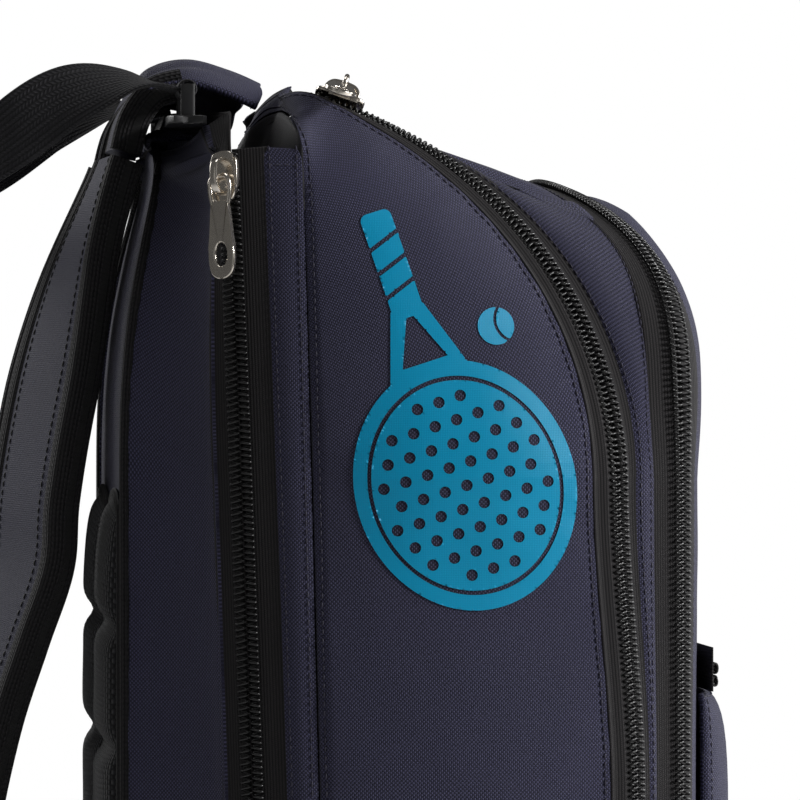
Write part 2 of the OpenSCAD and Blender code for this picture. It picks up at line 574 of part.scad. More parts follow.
// Strip on the front panel from d0 to d1 above its middle, flat in front.
module front_strip(z0, z1, d0, d1, w, flat_back) {
    m = 16;
    level = function (d, flat) [for (z = [z0, z1]) [for (j = [0 : m])
        let (x = (2 * j / m - 1) * w) [x, (flat ? face_y(0) : face_y(x)) - fit - d, z]]];
    slab(level(d1, true), level(d0, flat_back), 1);
}
module pocket_zip_tape() color(black)
    front_strip(pocket_top + fit, zip_z + 10, 0, tape_t, pocket_half_w, false);
module pocket_zip_coil() color(black)
    front_strip(zip_z - coil_half, zip_z + coil_half, tape_t + 0.1, tape_t + coil_h, pocket_half_w - 4, true);

// ---- Sliders and pullers: x points to the slider's own side, z outward ----
plate_z = coil_h + 1.1;             // under side of the slider's top plate
bridge_z = plate_z + slider_t + 3.6;
pivot_z = plate_z + slider_t + 1.7;
ring_z = bridge_z + 0.8;
module slider_body() color(metal) {
    translate([0, 0, plate_z]) linear_extrude(slider_t) polygon([
        [-4, -slider_l / 2], [4, -slider_l / 2], [5.2, -slider_l / 4], [5.2, slider_l / 3],
        [3.6, slider_l / 2], [-3.6, slider_l / 2], [-5.2, slider_l / 3], [-5.2, -slider_l / 4]]);
    translate([coil_half + 2 * fit, -slider_l / 3, 3 * fit])
        cube([1.2, slider_l / 1.9, plate_z + slider_t - 3 * fit]);
    for (y = [-1, 1]) translate([0, y * 5.2, plate_z + slider_t + 1.8]) cube([2.6, 2, 3.7], center = true);
    translate([0, 0, ring_z]) cube([2.6, 12.4, 1.6], center = true);
}
// Tapered tab with an oval hole, its pivot at the origin, lying along +y.
module puller_tab(start) linear_extrude(puller_t, center = true) difference() {
    union() {
        polygon([[-3.6, start], [3.6, start], [5.6, puller_l - 7], [-5.6, puller_l - 7]]);
        translate([0, puller_l - 7]) scale([5.6, 7]) circle(1);
    }
    translate([0, puller_l - 8.5]) scale([2.6, 4.2]) circle(1);
}
module fork_puller() color(metal) {
    x_rod(loop_wire, 9);
    for (x = [-1, 1]) translate([x * 4, 5, 0]) rotate([90, 0, 0])
        cylinder(r = loop_wire, h = 10, center = true);
    puller_tab(9);
}
module ring_puller() color(metal) {
    rotate([0, 90, 0]) rotate_extrude() translate([ring_r + loop_wire, 0]) circle(loop_wire, $fn = 24);
    puller_tab(3.6);
}
module place(f) multmatrix([
    [f[1][0], f[2][0], f[3][0], f[0][0]], [f[1][1], f[2][1], f[3][1], f[0][1]],
    [f[1][2], f[2][2], f[3][2], f[0][2]], [0, 0, 0, 1]]) children();
function point_on(track, z) = let (i = min([for (k = [0 : rows]) if (track[k][2] > z) k]))
    lerp(track[i - 1], track[i], (z - track[i - 1][2]) / (track[i][2] - track[i - 1][2]));

side_slider_z = side_top_z - 10;
side_i = rows_side + rows_arc - 1;
side_frame = slider_frame(point_on(side_zip, side_slider_z), along(side_zip, side_i),
    to_back_side(side_i), to_seam_side(side_i), -1);
module side_slider_left() place(side_frame) slider_body();
module side_puller_left() place(side_frame) translate([0, 0, pivot_z]) fork_puller();
module side_slider_right() mirrored() side_slider_left();
module side_puller_right() mirrored() side_puller_left();

function main_frame(o, i) =
    let (f = slider_frame(o, along(main_zip, i), to_front_side(i), to_wall_side(i), 1))
    [f[0] + f[3] * valley_lift, f[1], f[2], f[3]];
top_slider_a = arc_end - 1.8;       // the top slider's place on the main zip's arc, in degrees
top_i = rows_side + rows_arc;
function near_top(side) = lerp(side(top_i - 1), side(top_i), 0.65);
main_top_flat = slider_frame(main_arc_at(top_slider_a),
    unit(main_arc_at(top_slider_a + 1) - main_arc_at(top_slider_a - 1)),
    near_top(to_front_side), near_top(to_wall_side), 1);
main_top_frame = concat([main_top_flat[0] + main_top_flat[3] * valley_lift],
    [for (k = [1 : 3]) main_top_flat[k]]);
main_low_frame = main_frame(point_on(main_zip, 250), 4);
tab_drop = 24;                      // how far the top slider's tab hangs over the side
module main_slider_top() place(main_top_frame) slider_body();
module main_puller_top() place(main_top_frame) translate([0, 0, ring_z])
    rotate([0, -tab_drop, 0]) rotate([0, 0, 90]) ring_puller();
module main_slider_low() mirrored() place(main_low_frame) slider_body();
module main_puller_low() mirrored() place(main_low_frame) translate([0, 0, pivot_z])
    rotate([0, 0, 180]) fork_puller();

front_i = 7;
front_frame = slider_frame(front_zip[front_i], along(front_zip, front_i),
    to_rim_side(front_i), to_gusset_side(front_i), 1);
module front_slider() mirrored() place(front_frame) slider_body();
module front_puller() mirrored() place(front_frame) translate([0, 0, pivot_z])
    rotate([0, 0, 180]) fork_puller();
pocket_x = pocket_half_w * 0.45;
pocket_frame = [[pocket_x, face_y(0) - fit - tape_t, zip_z], [0, 0, 1], [1, 0, 0], [0, -1, 0]];
module pocket_slider() place(pocket_frame) slider_body();
module pocket_puller() place(pocket_frame) translate([0, 0, pivot_z]) rotate([0, 0, 180]) fork_puller();

main_side_wall();
divider_panel();
racket_top_lining();
plackets();
base_tray();
base_board();
main_zip_body_tape();
main_zip_body_coil();
side_zip_body_tapes();
side_zip_body_coils();
back_side_band();
back_face();
back_pad_left();
back_pad_right();
lumbar_pad();
strap_yoke();
side_zip_back_tapes();
side_zip_back_coils();
strap_stubs();
lower_tabs();
strap_left_pad();
strap_left_mesh();
strap_left_binding();
strap_left_webbing();
strap_left_buckle();
strap_right_pad();
strap_right_mesh();
strap_right_binding();
strap_right_webbing();
strap_right_buckle();
handle_mounts();
grab_handle();
handle_loops();
front_gusset();
front_divider();
main_zip_front_tape();
main_zip_front_coil();
front_zip_gusset_tape();
front_zip_gusset_coil();
front_panel();
front_zip_panel_tape();
front_zip_panel_coil();
pocket_zip_tape();
pocket_zip_coil();
pocket_shell();
side_slider_left();
side_puller_left();
side_slider_right();
side_puller_right();
main_slider_low();
main_puller_low();
main_slider_top();
main_puller_top();
front_slider();
front_puller();
pocket_slider();
pocket_puller();
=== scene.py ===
"""Racket backpack: fabric, zips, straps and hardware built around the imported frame."""
import json
import logging
import math
from dataclasses import dataclass, field
from enum import Enum
from typing import Callable, Dict, List, Optional, Sequence, Tuple

import bmesh
import bpy
import numpy as np
from mathutils.bvhtree import BVHTree
from mathutils import Matrix, Vector, noise

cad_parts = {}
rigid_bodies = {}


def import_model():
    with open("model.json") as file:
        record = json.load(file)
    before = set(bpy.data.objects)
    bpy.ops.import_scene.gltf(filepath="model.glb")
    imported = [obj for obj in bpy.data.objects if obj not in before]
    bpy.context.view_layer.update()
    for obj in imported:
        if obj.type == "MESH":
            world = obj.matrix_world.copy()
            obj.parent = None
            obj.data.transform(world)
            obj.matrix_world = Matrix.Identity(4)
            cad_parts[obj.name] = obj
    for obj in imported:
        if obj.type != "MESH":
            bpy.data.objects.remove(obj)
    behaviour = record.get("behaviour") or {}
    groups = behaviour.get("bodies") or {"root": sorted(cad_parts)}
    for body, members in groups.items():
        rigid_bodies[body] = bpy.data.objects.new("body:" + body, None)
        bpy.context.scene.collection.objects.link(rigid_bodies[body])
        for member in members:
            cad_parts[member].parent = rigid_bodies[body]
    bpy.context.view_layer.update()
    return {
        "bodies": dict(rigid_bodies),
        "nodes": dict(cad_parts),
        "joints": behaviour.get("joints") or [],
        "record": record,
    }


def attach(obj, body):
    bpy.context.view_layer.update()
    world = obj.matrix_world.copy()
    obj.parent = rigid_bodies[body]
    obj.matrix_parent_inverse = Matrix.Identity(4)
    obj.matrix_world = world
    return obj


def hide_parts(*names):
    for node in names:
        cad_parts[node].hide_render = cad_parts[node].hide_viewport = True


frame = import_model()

LOG = logging.getLogger("backpack")
MM = 0.001
Array = np.ndarray


class Body(str, Enum):
    """Rigid bodies that pieces ride on."""

    BAG = "bag"
    BACK = "back_panel"
    STRAP_LEFT = "strap_left"
    STRAP_RIGHT = "strap_right"
    HANDLE = "handle"
    FRONT = "front_section"
    PANEL = "front_panel"


class Side(Enum):
    """Left is the side of the bag at negative x."""

    LEFT = 1.0
    RIGHT = -1.0

    @property
    def word(self) -> str:
        """Name used in piece names."""
        return "left" if self is Side.LEFT else "right"


# ---------------------------------------------------------------- small maths
def unit(v: Array) -> Array:
    """Scale vectors along the last axis to length one."""
    return v / np.maximum(np.linalg.norm(v, axis=-1, keepdims=True), 1e-9)


def smooth(t: float) -> float:
    """Ease from 0 to 1."""
    c = min(max(t, 0.0), 1.0)
    return c * c * (3 - 2 * c)


def mirrored(p: Array) -> Array:
    """Mirror points across the bag's middle plane."""
    q = np.array(p, dtype=float)
    q[..., 0] *= -1
    return q


def sided(p: Array, side: Side) -> Array:
    """Give points of the left side to the asked side."""
    return p if side is Side.LEFT else mirrored(p)


def catmull(points: Sequence[Sequence[float]], steps: int) -> Array:
    """Smooth path through points.

    Args:
        points: the points that the path passes.
        steps: steps between neighbouring points.

    Returns:
        The path's points.
    """
    p = [np.array(q, dtype=float) for q in points]
    n = len(p) - 1
    out = []
    for i in range(n):
        a, b, c, d = p[max(i - 1, 0)], p[i], p[i + 1], p[min(i + 2, n)]
        for s in range(steps):
            t = s / steps
            out.append(0.5 * (2 * b + (c - a) * t + (2 * a - 5 * b + 4 * c - d) * t * t
                              + (3 * b - a - 3 * c + d) * t ** 3))
    out.append(p[n])
    return np.array(out)


def along(track: Array) -> Array:
    """Unit direction of a track at each point."""
    return unit(np.gradient(track, axis=0))


def arc_length(track: Array) -> Array:
    """Distance from a track's start at each point."""
    steps = np.linalg.norm(np.diff(track, axis=0), axis=1)
    return np.concatenate([[0.0], np.cumsum(steps)])


def resample(values: Array, at: Array, s: Array) -> Array:
    """Read values given at distances `at` for new distances s."""
    return np.stack([np.interp(s, at, values[:, k]) for k in range(values.shape[1])], axis=1)


def wave(p: Array, size: float, seed: float) -> Array:
    """Smooth noise in -1..1 at points in mm, for folds `size` mm long."""
    flat = p.reshape(-1, 3)
    out = [noise.noise(Vector((float(q[0]) / size + seed, float(q[1]) / size, float(q[2]) / size)))
           for q in flat]
    return np.array(out).reshape(p.shape[:-1])


# ---------------------------------------------------------------- tracks
@dataclass
class Tracks:
    """Seam and zip lines of the bag, as rows from the left foot over the top to the right foot."""

    body_h: float = 503.0
    half_w: float = 153.0
    main_half_w: float = 140.0
    front_half_w: float = 124.0
    back_half_w: float = 112.0
    base_h: float = 95.0
    back_y: float = 106.0
    side_zip_y: float = 65.0
    seam_y: float = 42.0
    main_y: float = -61.0
    belly: float = 6.0
    front_y: float = -88.0
    front_bulge: float = 10.0
    tape_half: float = 11.5
    fit: float = 0.3
    n_side: int = 9
    n_arc: int = 14
    n_corner: int = 4
    n_top: int = 5
    side_r: float = 2000.0
    side_mid_z: float = 230.0
    arc_r: float = 140.0
    arc_lean: float = math.radians(15.4)
    arc_end: float = 72.4
    main_cross_y: float = 41.0
    seam_cross_y: float = 51.0
    back_edge_y: float = 68.0
    handle_gap_y: float = 88.0
    front_top_y: float = -52.0
    back_lean: float = 14.0
    wall_tilt: float = math.radians(52)
    rim_turn: float = math.radians(45)
    coil_half: float = 4.5
    slider_clear: float = 2.1
    rows: Array = field(init=False)

    def __post_init__(self) -> None:
        """Work out heights and the dense rows."""
        self.floor_z = self.base_h + 1.0
        self.side_top_z = self.body_h - 16
        self.arc_y = self.main_y + self.arc_r
        self.arc_z = self.body_h - 131
        self.front_top_z = self.body_h - 25
        self.front_round_z = self.body_h - 103
        self.n_rows = self.n_side + self.n_arc + self.n_corner + self.n_top
        pieces = [np.arange(0, self.n_side, 0.2),
                  np.arange(self.n_side, self.n_side + self.n_arc, 0.34),
                  np.arange(self.n_side + self.n_arc, self.n_rows + 1e-6, 0.2)]
        self.rows = np.concatenate(pieces)
        self.rows[-1] = self.n_rows
        self.top_row = self.n_side + self.n_arc
        self.seam = self.whole(self.seam_row)
        self.side_zip = self.whole(self.side_zip_row)
        self.back_front = self.whole(self.back_front_row)
        self.back_edge = self.whole(self.back_row)
        self.main_zip = self.whole(self.main_row)
        self.front_zip = self.whole(self.front_row)
        self.half = len(self.rows) - 1
        self.i_top = int(np.argmin(np.abs(self.rows - self.top_row)))
        self.front_edge = self.rim(self.tape_half)
        self.valley_lift = (self.coil_half + self.slider_clear) * math.tan(self.wall_tilt / 2)

    def side_in(self, z: float) -> float:
        """Inward set of the sides at height z."""
        return self.side_r - math.sqrt(self.side_r ** 2 - (z - self.side_mid_z) ** 2)

    def side_zip_at(self, z: float) -> Array:
        """Side zip's point at height z."""
        return np.array([-(self.half_w - 7) + self.side_in(z),
                         self.side_zip_y + (z - 330) * 0.033, z])

    def seam_at(self, z: float) -> Array:
        """Side seam's point at height z."""
        return np.array([-self.half_w + self.side_in(z), self.seam_y + (z - 330) * 0.02, z])

    def row_z(self, i: float) -> float:
        """Height of row i on the sides."""
        if i <= self.n_side:
            return self.floor_z + (self.arc_z - self.floor_z) * i / self.n_side
        return self.arc_z + (self.side_top_z - self.arc_z) * (i - self.n_side) / self.n_arc

    def over_top(self, p: Array, y_mid: float, i: float) -> Array:
        """Point of a track that turns over the top from p."""
        k = i - self.top_row
        knee = np.array([p[0] + 30, y_mid, self.body_h - 1])
        if k <= self.n_corner:
            t = k / self.n_corner
            b = p + np.array([0.12, 0.05, 1.0]) * 9
            c = np.array([p[0] + 11, p[1] + (y_mid - p[1]) * 0.6, self.body_h - 3])
            return (p * (1 - t) ** 3 + b * 3 * t * (1 - t) ** 2
                    + c * 3 * t * t * (1 - t) + knee * t ** 3)
        t = (k - self.n_corner) / self.n_top
        return np.array([knee[0] * (1 - t), y_mid,
                         self.body_h - 1 + 2 * math.sin(math.pi / 2 * t)])

    def seam_row(self, i: float) -> Array:
        """Side seam's row i."""
        if i <= self.top_row:
            return self.seam_at(self.row_z(i))
        return self.over_top(self.seam_at(self.side_top_z), self.seam_cross_y, i)

    def side_zip_row(self, i: float) -> Array:
        """Side zip's row i, carried on over the top."""
        if i <= self.top_row:
            return self.side_zip_at(self.row_z(i))
        return self.over_top(self.side_zip_at(self.side_top_z), self.back_edge_y, i)

    def back_front_row(self, i: float) -> Array:
        """Front edge of the back part, set back in the middle."""
        p = self.side_zip_row(i)
        return p + np.array([0, (self.handle_gap_y - self.back_edge_y)
                             * smooth((95 + p[0]) / 45), 0])

    def back_row(self, i: float) -> Array:
        """Edge between the back face and its sides."""
        if i <= self.n_side:
            z = self.row_z(i)
            return np.array([-self.back_half_w + self.side_in(z) * 0.8,
                             self.back_y - self.back_lean * smooth((z - 400) / 90), z])
        t = (i - self.n_side) / (self.n_rows - self.n_side)
        a = math.pi / 2 * t
        w = self.back_half_w - self.side_in(self.arc_z) * 0.8
        return np.array([-w * max(math.cos(a), 0.0) ** 0.62,
                         self.back_y - self.back_lean * smooth(t * 1.4),
                         self.arc_z + (self.body_h - 9 - self.arc_z) * math.sin(a) ** 0.72])

    def main_arc(self, a: float) -> Array:
        """Main zip's arc at angle a in degrees."""
        q = self.arc_r * math.sin(math.radians(a))
        return np.array([-self.main_half_w + q * math.sin(self.arc_lean),
                         self.arc_y - self.arc_r * math.cos(math.radians(a)),
                         self.arc_z + q * math.cos(self.arc_lean)])

    def main_row(self, i: float) -> Array:
        """Main zip's row i."""
        if i <= self.n_side:
            z = self.row_z(i)
            return np.array([-self.main_half_w,
                             self.main_y - self.belly * smooth((self.arc_z - z) / 110), z])
        if i <= self.top_row:
            return self.main_arc(self.arc_end * (i - self.n_side) / self.n_arc)
        p = self.main_arc(self.arc_end)
        d = unit(p - self.main_arc(self.arc_end - 1))
        c = np.array([p[0] + 14, self.main_cross_y, self.body_h - 2])
        k = i - self.top_row
        if k <= self.n_corner:
            t = k / self.n_corner
            return (p * (1 - t) ** 3 + (p + d * 5) * 3 * t * (1 - t) ** 2
                    + (c - np.array([7, 0, 0])) * 3 * t * t * (1 - t) + c * t ** 3)
        t = (k - self.n_corner) / self.n_top
        return np.array([c[0] * (1 - t), self.main_cross_y,
                         self.body_h - 2 + 1.5 * math.sin(math.pi / 2 * t)])

    def front_row(self, i: float) -> Array:
        """Front zip's row i."""
        if i <= self.n_side:
            return np.array([-self.front_half_w, self.front_y, self.row_z(i)])
        a = math.pi / 2 * (i - self.n_side) / (self.n_rows - self.n_side)
        z = self.arc_z + (self.front_top_z - self.arc_z) * math.sin(a) ** 0.8
        q = min(max((z - self.front_round_z) / (self.front_top_z - self.front_round_z), 0), 1)
        return np.array([-self.front_half_w * max(math.cos(a), 0.0) ** 0.8,
                         self.front_y + (self.front_top_y - self.front_y) * q ** 3.4, z])

    def whole(self, row: Callable[[float], Array]) -> Array:
        """Track over both sides from a function of the row number."""
        left = np.array([row(float(i)) for i in self.rows])
        return np.concatenate([left, mirrored(left[-2::-1])])

    def sign(self, a: Array, b: Array) -> float:
        """1 where track b lies in front of track a at the top, otherwise -1."""
        return 1.0 if b[self.half][1] < a[self.half][1] else -1.0

    def across(self, a: Array, b: Array) -> Array:
        """Unit direction over the surface from track a towards track b."""
        t = along(a)
        v = b - a
        return unit(v - t * np.sum(v * t, axis=1, keepdims=True))

    def outward(self, a: Array, b: Array) -> Array:
        """Outward normal of the surface from track a towards track b."""
        return np.cross(self.across(a, b), along(a)) * self.sign(a, b)

    def beside(self, a: Array, b: Array, d: float, tilt: float = 0.0) -> Array:
        """Track a moved d towards b, turned outward by tilt."""
        return a + (self.across(a, b) * math.cos(tilt) + self.outward(a, b) * math.sin(tilt)) * d

    def wall_dir(self) -> Array:
        """Direction of the main zip's tape on the side wall."""
        return (self.across(self.main_zip, self.seam) * math.cos(self.wall_tilt)
                + self.outward(self.main_zip, self.seam) * math.sin(self.wall_tilt))

    def rim_dir(self) -> Array:
        """Direction of the front zip's panel-side tape."""
        t = along(self.front_zip)
        q = np.clip((self.front_zip[:, 2] - self.front_round_z)
                    / (self.front_top_z - self.front_round_z), 0, 1)
        slope = (self.front_top_y - self.front_y) * 3.4 * q ** 2.4 / (self.front_top_z - self.front_round_z)
        n = unit(np.stack([0 * slope, 0 * slope - 1, slope], axis=1))
        inward = unit(np.cross(t, n))
        c = -self.across(self.front_zip, self.main_zip)
        return unit(c * math.cos(self.rim_turn) + inward * math.sin(self.rim_turn))

    def rim(self, d: float) -> Array:
        """Front zip moved by d onto the front panel's rim."""
        return self.front_zip + self.rim_dir() * d

    def face_y(self, x: float) -> float:
        """Outer face of the front panel's upright part at x."""
        half = -self.front_edge[0][0]
        return self.front_edge[0][1] - self.front_bulge * (1 - (min(abs(x) / half, 1)) ** 3)


TRACKS = Tracks()


# ---------------------------------------------------------------- mesh helpers
def mesh_piece(name: str, points: Array, faces: Sequence[Sequence[int]],
               uv: Optional[Array] = None, smooth_faces: bool = True) -> bpy.types.Object:
    """Make an object from points in mm.

    Args:
        name: piece name.
        points: (n, 3) points in mm.
        faces: corner numbers of each face.
        uv: (n, 2) fabric coordinates in mm, one for each point.
        smooth_faces: shade smooth.

    Returns:
        The new object, linked to the scene.
    """
    mesh = bpy.data.meshes.new(name)
    mesh.from_pydata((np.asarray(points) * MM).tolist(), [], [list(map(int, f)) for f in faces])
    if uv is not None:
        layer = mesh.uv_layers.new(name="fabric")
        loops = np.zeros(len(mesh.loops), dtype=np.int32)
        mesh.loops.foreach_get("vertex_index", loops)
        layer.data.foreach_set("uv", (np.asarray(uv)[loops] * MM).ravel())
    mesh.validate()
    mesh.update()
    if smooth_faces:
        mesh.polygons.foreach_set("use_smooth", [True] * len(mesh.polygons))
    obj = bpy.data.objects.new(name, mesh)
    bpy.context.scene.collection.objects.link(obj)
    return obj


def grid_faces(rows: int, cols: int, turn: bool = False, wrap: bool = False,
               start: int = 0) -> List[Tuple[int, int, int, int]]:
    """Quads over a grid of points, wrapped across the columns when asked."""
    out = []
    last = cols if wrap else cols - 1
    for i in range(rows - 1):
        for j in range(last):
            k = (j + 1) % cols
            q = (start + i * cols + j, start + i * cols + k,
                 start + (i + 1) * cols + k, start + (i + 1) * cols + j)
            out.append(q[::-1] if turn else q)
    return out


def grid_uv(g: Array) -> Array:
    """Fabric coordinates of a grid, from distances over it."""
    across = np.concatenate([np.zeros((g.shape[0], 1)),
                             np.cumsum(np.linalg.norm(np.diff(g, axis=1), axis=2), axis=1)], axis=1)
    mid = g.shape[1] // 2
    rise = arc_length(g[:, mid])
    return np.stack([across - across[:, mid:mid + 1],
                     np.repeat(rise[:, None], g.shape[1], axis=1)], axis=2)


def sheet_piece(name: str, g: Array, sign: float, thick: float) -> bpy.types.Object:
    """Fabric sheet from a grid, with its thickness set inward.

    Args:
        name: piece name.
        g: (rows, cols, 3) outer points in mm.
        sign: 1 when columns run forward on the left, otherwise -1.
        thick: thickness in mm.

    Returns:
        The new object.
    """
    rows, cols = g.shape[:2]
    obj = mesh_piece(name, g.reshape(-1, 3), grid_faces(rows, cols, turn=sign < 0),
                     grid_uv(g).reshape(-1, 2))
    solid = obj.modifiers.new("thickness", "SOLIDIFY")
    solid.thickness = thick * MM
    solid.offset = -1.0
    return obj


def sweep_points(path: Array, sides: Array, section: Array) -> Array:
    """Rings of a section carried along a path.

    Args:
        path: (n, 3) centre points.
        sides: (n, 3) directions of the section's first axis.
        section: (m, 2) section points.

    Returns:
        (n, m, 3) ring points.
    """
    d = along(path)
    s = unit(sides - d * np.sum(sides * d, axis=1, keepdims=True))
    n = np.cross(d, s)
    return (path[:, None, :] + s[:, None, :] * section[None, :, 0:1]
            + n[:, None, :] * section[None, :, 1:2])


def sweep_piece(name: str, path: Array, sides: Array, section: Array,
                closed: bool = True) -> bpy.types.Object:
    """Solid made by carrying a closed section along a path."""
    rings = sweep_points(path, sides, section)
    n, m = rings.shape[:2]
    faces: List[Sequence[int]] = list(grid_faces(n, m, wrap=True, turn=True))
    if closed:
        faces.append(list(range(m)))
        faces.append([(n - 1) * m + m - 1 - j for j in range(m)])
    around = arc_length(np.concatenate([section, section[:1]]))[:-1]
    uv = np.stack([np.tile(around, (n, 1)),
                   np.repeat(arc_length(path)[:, None], m, axis=1)], axis=2)
    return mesh_piece(name, rings.reshape(-1, 3), faces, uv.reshape(-1, 2))


def oval(w: float, h: float, count: int, power: float) -> Array:
    """Rounded-box section w wide and h thick."""
    a = np.arange(count) * 2 * math.pi / count
    c, s = np.cos(a), np.sin(a)
    return np.stack([np.sign(c) * np.abs(c) ** power * w / 2,
                     np.sign(s) * np.abs(s) ** power * h / 2], axis=1)


def stitch_piece(name: str, lines: Sequence[Tuple[Array, Array]], pitch: float = 3.1,
                 length: float = 2.3, radius: float = 0.33) -> bpy.types.Object:
    """Row of sewn stitches as short rounded threads.

    Args:
        name: piece name.
        lines: pairs of path points and outward normals, in mm.
        pitch: distance from stitch to stitch.
        length: length of one stitch.
        radius: thread radius.

    Returns:
        One object with every stitch.
    """
    points: List[Array] = []
    faces: List[Tuple[int, ...]] = []
    prof = np.array([[-0.5, 0.3], [-0.3, 0.95], [0.0, 1.1], [0.3, 0.95], [0.5, 0.3]])
    sides = 6
    for path, normals in lines:
        at = arc_length(path)
        for s in np.arange(pitch / 2, at[-1], pitch):
            c = resample(path, at, np.array([s]))[0]
            e = resample(path, at, np.array([min(s + 0.5, at[-1])]))[0]
            f = resample(path, at, np.array([max(s - 0.5, 0)]))[0]
            d = unit(e - f)
            n = unit(resample(normals, at, np.array([s]))[0])
            w = unit(np.cross(d, n))
            first = sum(len(q) for q in points)
            ring = []
            for t, r in prof:
                for k in range(sides):
                    a = 2 * math.pi * k / sides
                    ring.append(c + d * t * length + (w * math.cos(a) + n * math.sin(a)) * r * radius
                                + n * (r - 0.9) * 0.3)
            points.append(np.array(ring))
            faces += grid_faces(len(prof), sides, wrap=True, start=first)
            faces.append(tuple(first + k for k in range(sides))[::-1])
            faces.append(tuple(first + (len(prof) - 1) * sides + k for k in range(sides)))
    return mesh_piece(name, np.concatenate(points), faces)


# ---------------------------------------------------------------- finishes
class NodeKit:
    """Short calls for building node trees."""

    def __init__(self, tree: bpy.types.NodeTree) -> None:
        """Hold the tree that nodes are added to."""
        self.tree = tree

    def node(self, kind: str, **values: object) -> bpy.types.Node:
        """Add a node and set its properties."""
        made = self.tree.nodes.new(kind)
        for key, value in values.items():
            setattr(made, key, value)
        return made

    def feed(self, socket: bpy.types.NodeSocket, value: object) -> None:
        """Link a socket or set a constant."""
        if isinstance(value, bpy.types.NodeSocket):
            self.tree.links.new(value, socket)
        elif value is not None:
            socket.default_value = value

    def math(self, op: str, a: object, b: object = None, c: object = None) -> bpy.types.NodeSocket:
        """Add a Math node and return its output."""
        made = self.node("ShaderNodeMath", operation=op)
        for socket, value in zip(made.inputs, (a, b, c)):
            self.feed(socket, value)
        return made.outputs[0]

    def mix(self, factor: object, a: object, b: object) -> bpy.types.NodeSocket:
        """Mix two colours and return the result."""
        made = self.node("ShaderNodeMix", data_type="RGBA")
        self.feed(made.inputs[0], factor)
        self.feed(made.inputs[6], a)
        self.feed(made.inputs[7], b)
        return made.outputs[2]

    def noise(self, vector: object, scale: float, detail: float = 3.0) -> bpy.types.NodeSocket:
        """Add a Noise texture and return its value."""
        made = self.node("ShaderNodeTexNoise")
        self.feed(made.inputs["Vector"], vector)
        made.inputs["Scale"].default_value = scale
        made.inputs["Detail"].default_value = detail
        return made.outputs[0]


def new_group(name: str, inputs: Sequence[Tuple[str, str, object]],
              outputs: Sequence[Tuple[str, str]]) -> Tuple[bpy.types.NodeTree, NodeKit,
                                                          bpy.types.Node, bpy.types.Node]:
    """Start a shader node group.

    Args:
        name: group name.
        inputs: name, socket type and default of each input.
        outputs: name and socket type of each output.

    Returns:
        The group, its kit, its input node and its output node.
    """
    group = bpy.data.node_groups.new(name, "ShaderNodeTree")
    for title, kind, value in inputs:
        made = group.interface.new_socket(name=title, in_out="INPUT", socket_type=kind)
        if value is not None:
            made.default_value = value
    for title, kind in outputs:
        group.interface.new_socket(name=title, in_out="OUTPUT", socket_type=kind)
    kit = NodeKit(group)
    return group, kit, kit.node("NodeGroupInput"), kit.node("NodeGroupOutput")


FLOAT, VECTOR = "NodeSocketFloat", "NodeSocketVector"


def plain_weave_group() -> bpy.types.NodeTree:
    """Plain weave: one thread over, one under, with uneven threads."""
    group, kit, gin, gout = new_group(
        "plain_weave", [("Vector", VECTOR, None), ("Thread", FLOAT, 0.0006), ("Uneven", FLOAT, 0.3)],
        [("Height", FLOAT), ("Upper Thread", FLOAT), ("Thread Tone", FLOAT)])
    split = kit.node("ShaderNodeSeparateXYZ")
    kit.feed(split.inputs[0], gin.outputs["Vector"])
    wobble = kit.noise(gin.outputs["Vector"], 160.0, 2.0)
    shift = kit.math("MULTIPLY", kit.math("SUBTRACT", wobble, 0.5), gin.outputs["Uneven"])
    u = kit.math("ADD", kit.math("DIVIDE", split.outputs[0], gin.outputs["Thread"]), shift)
    v = kit.math("ADD", kit.math("DIVIDE", split.outputs[1], gin.outputs["Thread"]), shift)
    cu = kit.math("COSINE", kit.math("MULTIPLY", kit.math("SUBTRACT", kit.math("FRACT", u), 0.5), math.pi))
    cv = kit.math("COSINE", kit.math("MULTIPLY", kit.math("SUBTRACT", kit.math("FRACT", v), 0.5), math.pi))
    sum_cells = kit.math("ADD", kit.math("FLOOR", u), kit.math("FLOOR", v))
    parity = kit.math("FLOORED_MODULO", sum_cells, 2.0)
    warp = kit.math("MULTIPLY", cu, kit.math("MULTIPLY_ADD", cv, 0.55, 0.45))
    weft = kit.math("MULTIPLY", cv, kit.math("MULTIPLY_ADD", cu, 0.55, 0.45))
    height = kit.math("ADD", kit.math("MULTIPLY", warp, parity),
                      kit.math("MULTIPLY", weft, kit.math("SUBTRACT", 1.0, parity)))
    tone = kit.noise(gin.outputs["Vector"], 900.0, 1.0)
    kit.feed(gout.inputs["Height"], height)
    kit.feed(gout.inputs["Upper Thread"], kit.math("MULTIPLY", height, parity))
    kit.feed(gout.inputs["Thread Tone"], tone)
    return group


